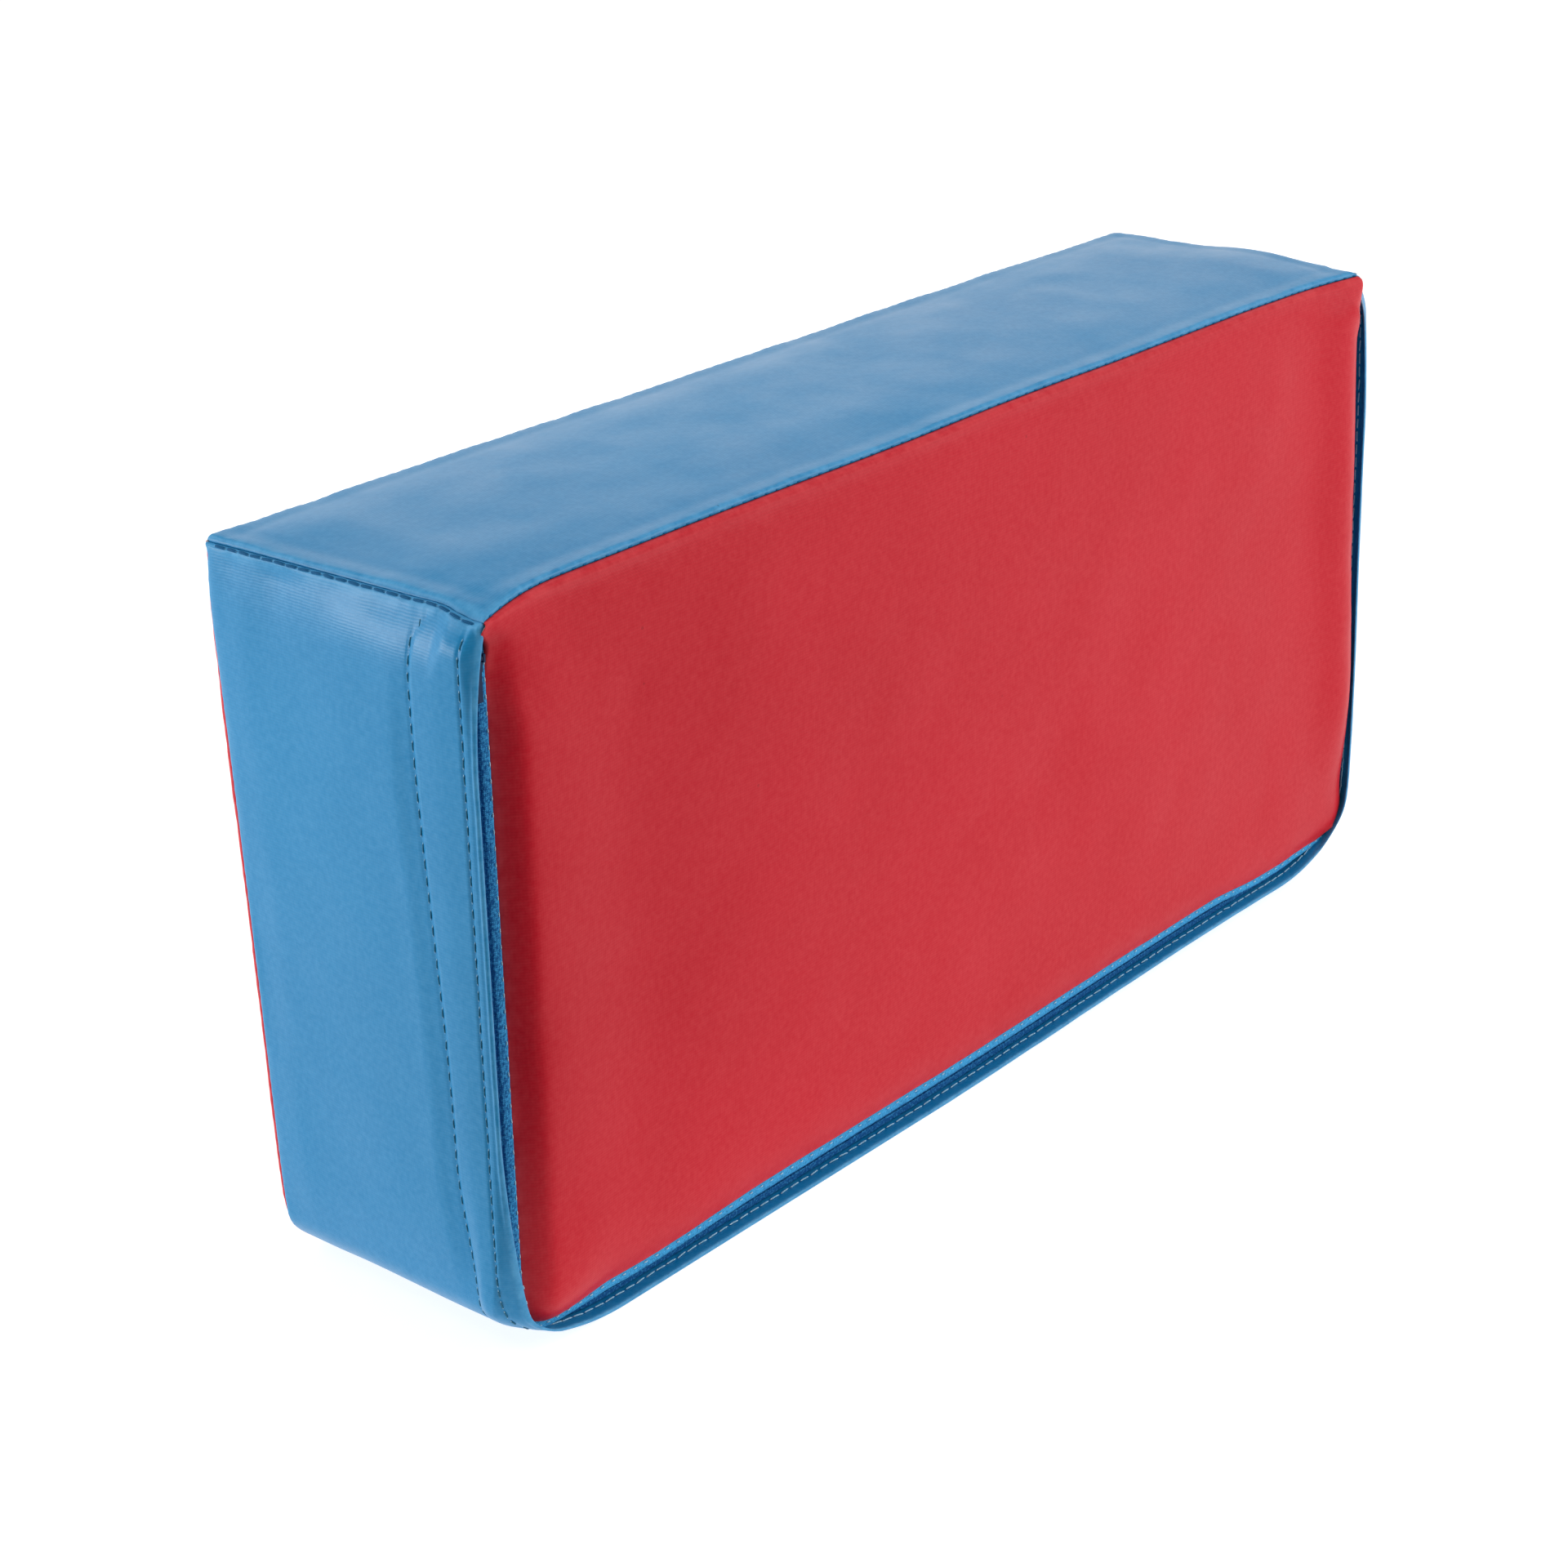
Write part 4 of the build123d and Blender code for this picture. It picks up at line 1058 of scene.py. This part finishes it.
# ======== Which body each piece rides on, what it stands for, and its material
COVER, FLAP = "cover_and_core", "front_flap"
PIECES = (
    (top_sheet, COVER, "top_panel", "blue_vinyl", (BLUE, BACKING)),
    (back_sheet, COVER, "back_panel", "red_vinyl", (RED, BACKING)),
    (band_sheet, COVER, "side_band", "blue_vinyl", (BLUE, BACKING)),
    (front_sheet, FLAP, "front_panel", "red_vinyl", (RED, BACKING)),
    (band_tape, COVER, "zip_tape_band", "zip_tape", (TAPE, TAPE)),
    (panel_tape, FLAP, "zip_tape_panel", "zip_tape", (TAPE, TAPE)),
    (band_coil, COVER, "zip_coil_band", "zip_coil", (COIL,)),
    (panel_coil, FLAP, "zip_coil_panel", "zip_coil", (COIL,)),
    (inner_row, COVER, "row_lip_inner", "thread", (THREAD,)),
    (outer_row, COVER, "row_lip_outer", "thread", (THREAD,)),
    (hem_row, COVER, None, "thread", (PALE_THREAD,)),
    (panel_stitches, FLAP, "row_panel_tape", "thread", (PALE_THREAD,)),
    (front_seam, COVER, "seam_top_front", "thread", (BLUE_THREAD,)),
    (back_seam, COVER, "seam_top_back", "thread", (DARK_THREAD,)),
    (left_seam, COVER, "seam_top_left", "thread", (DARK_THREAD,)),
    (right_seam, COVER, "seam_top_right", "thread", (DARK_THREAD,)),
    (around, COVER, "seam_back", "thread", (DARK_THREAD,)),
    (tack_left, COVER, "bar_tacks", "thread", (PALE_THREAD,)),
    (tack_right, COVER, None, "thread", (PALE_THREAD,)),
    (foam, COVER, "foam_core", "foam", (FOAM,)),
    (top_stop, FLAP, "zip_top_stop", "zip_metal", (METAL,)),
)
for piece, body, node, slot, materials in PIECES:
    for material in materials:
        piece.data.materials.append(material)
    if body == FLAP:
        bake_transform(piece)
    else:
        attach(piece, body)
    if node:
        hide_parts(node)

for node in ("zip_slider", "zip_pull", "zip_end_stop"):
    thing = bpy.data.objects[node]
    if not thing.material_slots:
        thing.data.materials.append(METAL)
    for holder in thing.material_slots:
        holder.material = METAL

# ======== Floor, light and camera
def staged_plane(name, size, place, m):
    """A plane that belongs to the stage, with the material of m."""
    bpy.ops.mesh.primitive_plane_add(size=size, location=place)
    plane = bpy.context.object
    plane.name = name
    plane.data.materials.append(m.owner)
    return plane


paper = new_material("floor_paper")
grain = paper.noise(paper.place(), 90.0, 3.0)
paper.surface(paper.mix(paper.span(grain, 0.3, 0.7, 0.0, 1.0), (0.38, 0.38, 0.38), (0.41, 0.41, 0.41)),
              glow_color=(1.0, 1.0, 1.0, 1.0), glow=0.84, rough=0.9, specular=0.1)
staged_plane("floor", 30.0, (0, 0, 0), paper)

# The room: bright and warm at the horizon, grey above, and dim on the side behind the camera
TO_CAMERA = (-0.76, -0.65, 0.0)
world = bpy.data.worlds.new("studio")
bpy.context.scene.world = world
room = Nodes(world)
look = room.node("TexCoord", {}).outputs["Generated"]
ramp = room.node("ValToRGB", {0: room.node("SeparateXYZ", {0: look}).outputs["Z"]})
below, above = ramp.color_ramp.elements
below.position, below.color = 0.0, (1.5, 1.48, 1.46, 1.0)
above.position, above.color = 0.66, (0.30, 0.31, 0.33, 1.0)
ramp.color_ramp.elements.new(0.40).color = (1.48, 1.40, 1.35, 1.0)
aside = room.node("VectorMath", {0: look, 1: TO_CAMERA}, operation="DOT_PRODUCT").outputs["Value"]
dimmed = room.span(aside, 0.1, 0.8, 1.0, 0.18, interpolation_type="SMOOTHSTEP")
sky = room.node("VectorMath", {0: ramp.outputs[0], "Scale": dimmed}, operation="SCALE").outputs[0]
background = room.tree.nodes["Background"]
room.tree.links.new(sky, background.inputs["Color"])
background.inputs["Strength"].default_value = 0.78


def softbox(name, place, target, width, height, power):
    light = bpy.data.lights.new(name, "AREA")
    light.shape = "RECTANGLE"
    light.size, light.size_y = width, height
    light.energy = power
    lamp = bpy.data.objects.new(name, light)
    lamp.location = place
    lamp.rotation_euler = (Vector(target) - Vector(place)).to_track_quat("-Z", "Y").to_euler()
    bpy.context.scene.collection.objects.link(lamp)


softbox("left_back", (-1.9, 1.5, 0.52), (-0.2, 0, 0.2), 1.5, 0.4, 19)
softbox("right_front", (1.5, -2.3, 1.2), (0, 0, 0.15), 1.8, 1.4, 26)
softbox("front_top", (0.3, -1.5, 2.3), (0, 0, 0.1), 1.2, 0.9, 10)
softbox("left_top", (-1.3, 1.5, 2.0), (-0.2, 0, 0.2), 0.9, 0.7, 12)
softbox("overhead", (0.3, 0.2, 2.8), (0, 0, 0.15), 1.8, 1.4, 14)

# A black flag on the floor in front of the camera, outside its view; seen from below it is clear
black = new_material("flag_cloth")
nap = black.noise(black.place(), 60.0)
black.surface(black.mix(black.span(nap, 0.3, 0.7, 0.0, 1.0), (0.004, 0.004, 0.004), (0.01, 0.01, 0.01)),
              rough=1.0, specular=0.0)
underside = black.node("NewGeometry", {}).outputs["Backfacing"]
black.tree.links.new(black.math("SUBTRACT", 1.0, underside), black.shader.inputs["Alpha"])
flag = staged_plane("flag", 1.0, (-0.46, -0.68, 0.01), black)
flag.scale = (0.96, 0.86, 1.0)
flag.rotation_euler = (0, 0, math.atan2(TO_CAMERA[0], -TO_CAMERA[1]))
flag.visible_camera = flag.visible_shadow = False

bpy.context.scene.view_settings.view_transform = "Standard"

camera_data = bpy.data.cameras.new("camera")
camera_data.lens, camera_data.sensor_width = 75.17, 36.0
camera = bpy.data.objects.new("camera", camera_data)
right = Vector((0.63928, -0.76866, -0.02174))
above = Vector((0.30923, 0.23109, 0.92248))
behind = -Vector((0.70406, 0.59645, -0.38542))
turn = Matrix((right, above, behind)).transposed().to_4x4()
camera.matrix_world = Matrix.Translation((-1.0291, -0.8309, 0.6728)) @ turn
bpy.context.scene.collection.objects.link(camera)
bpy.context.scene.camera = camera
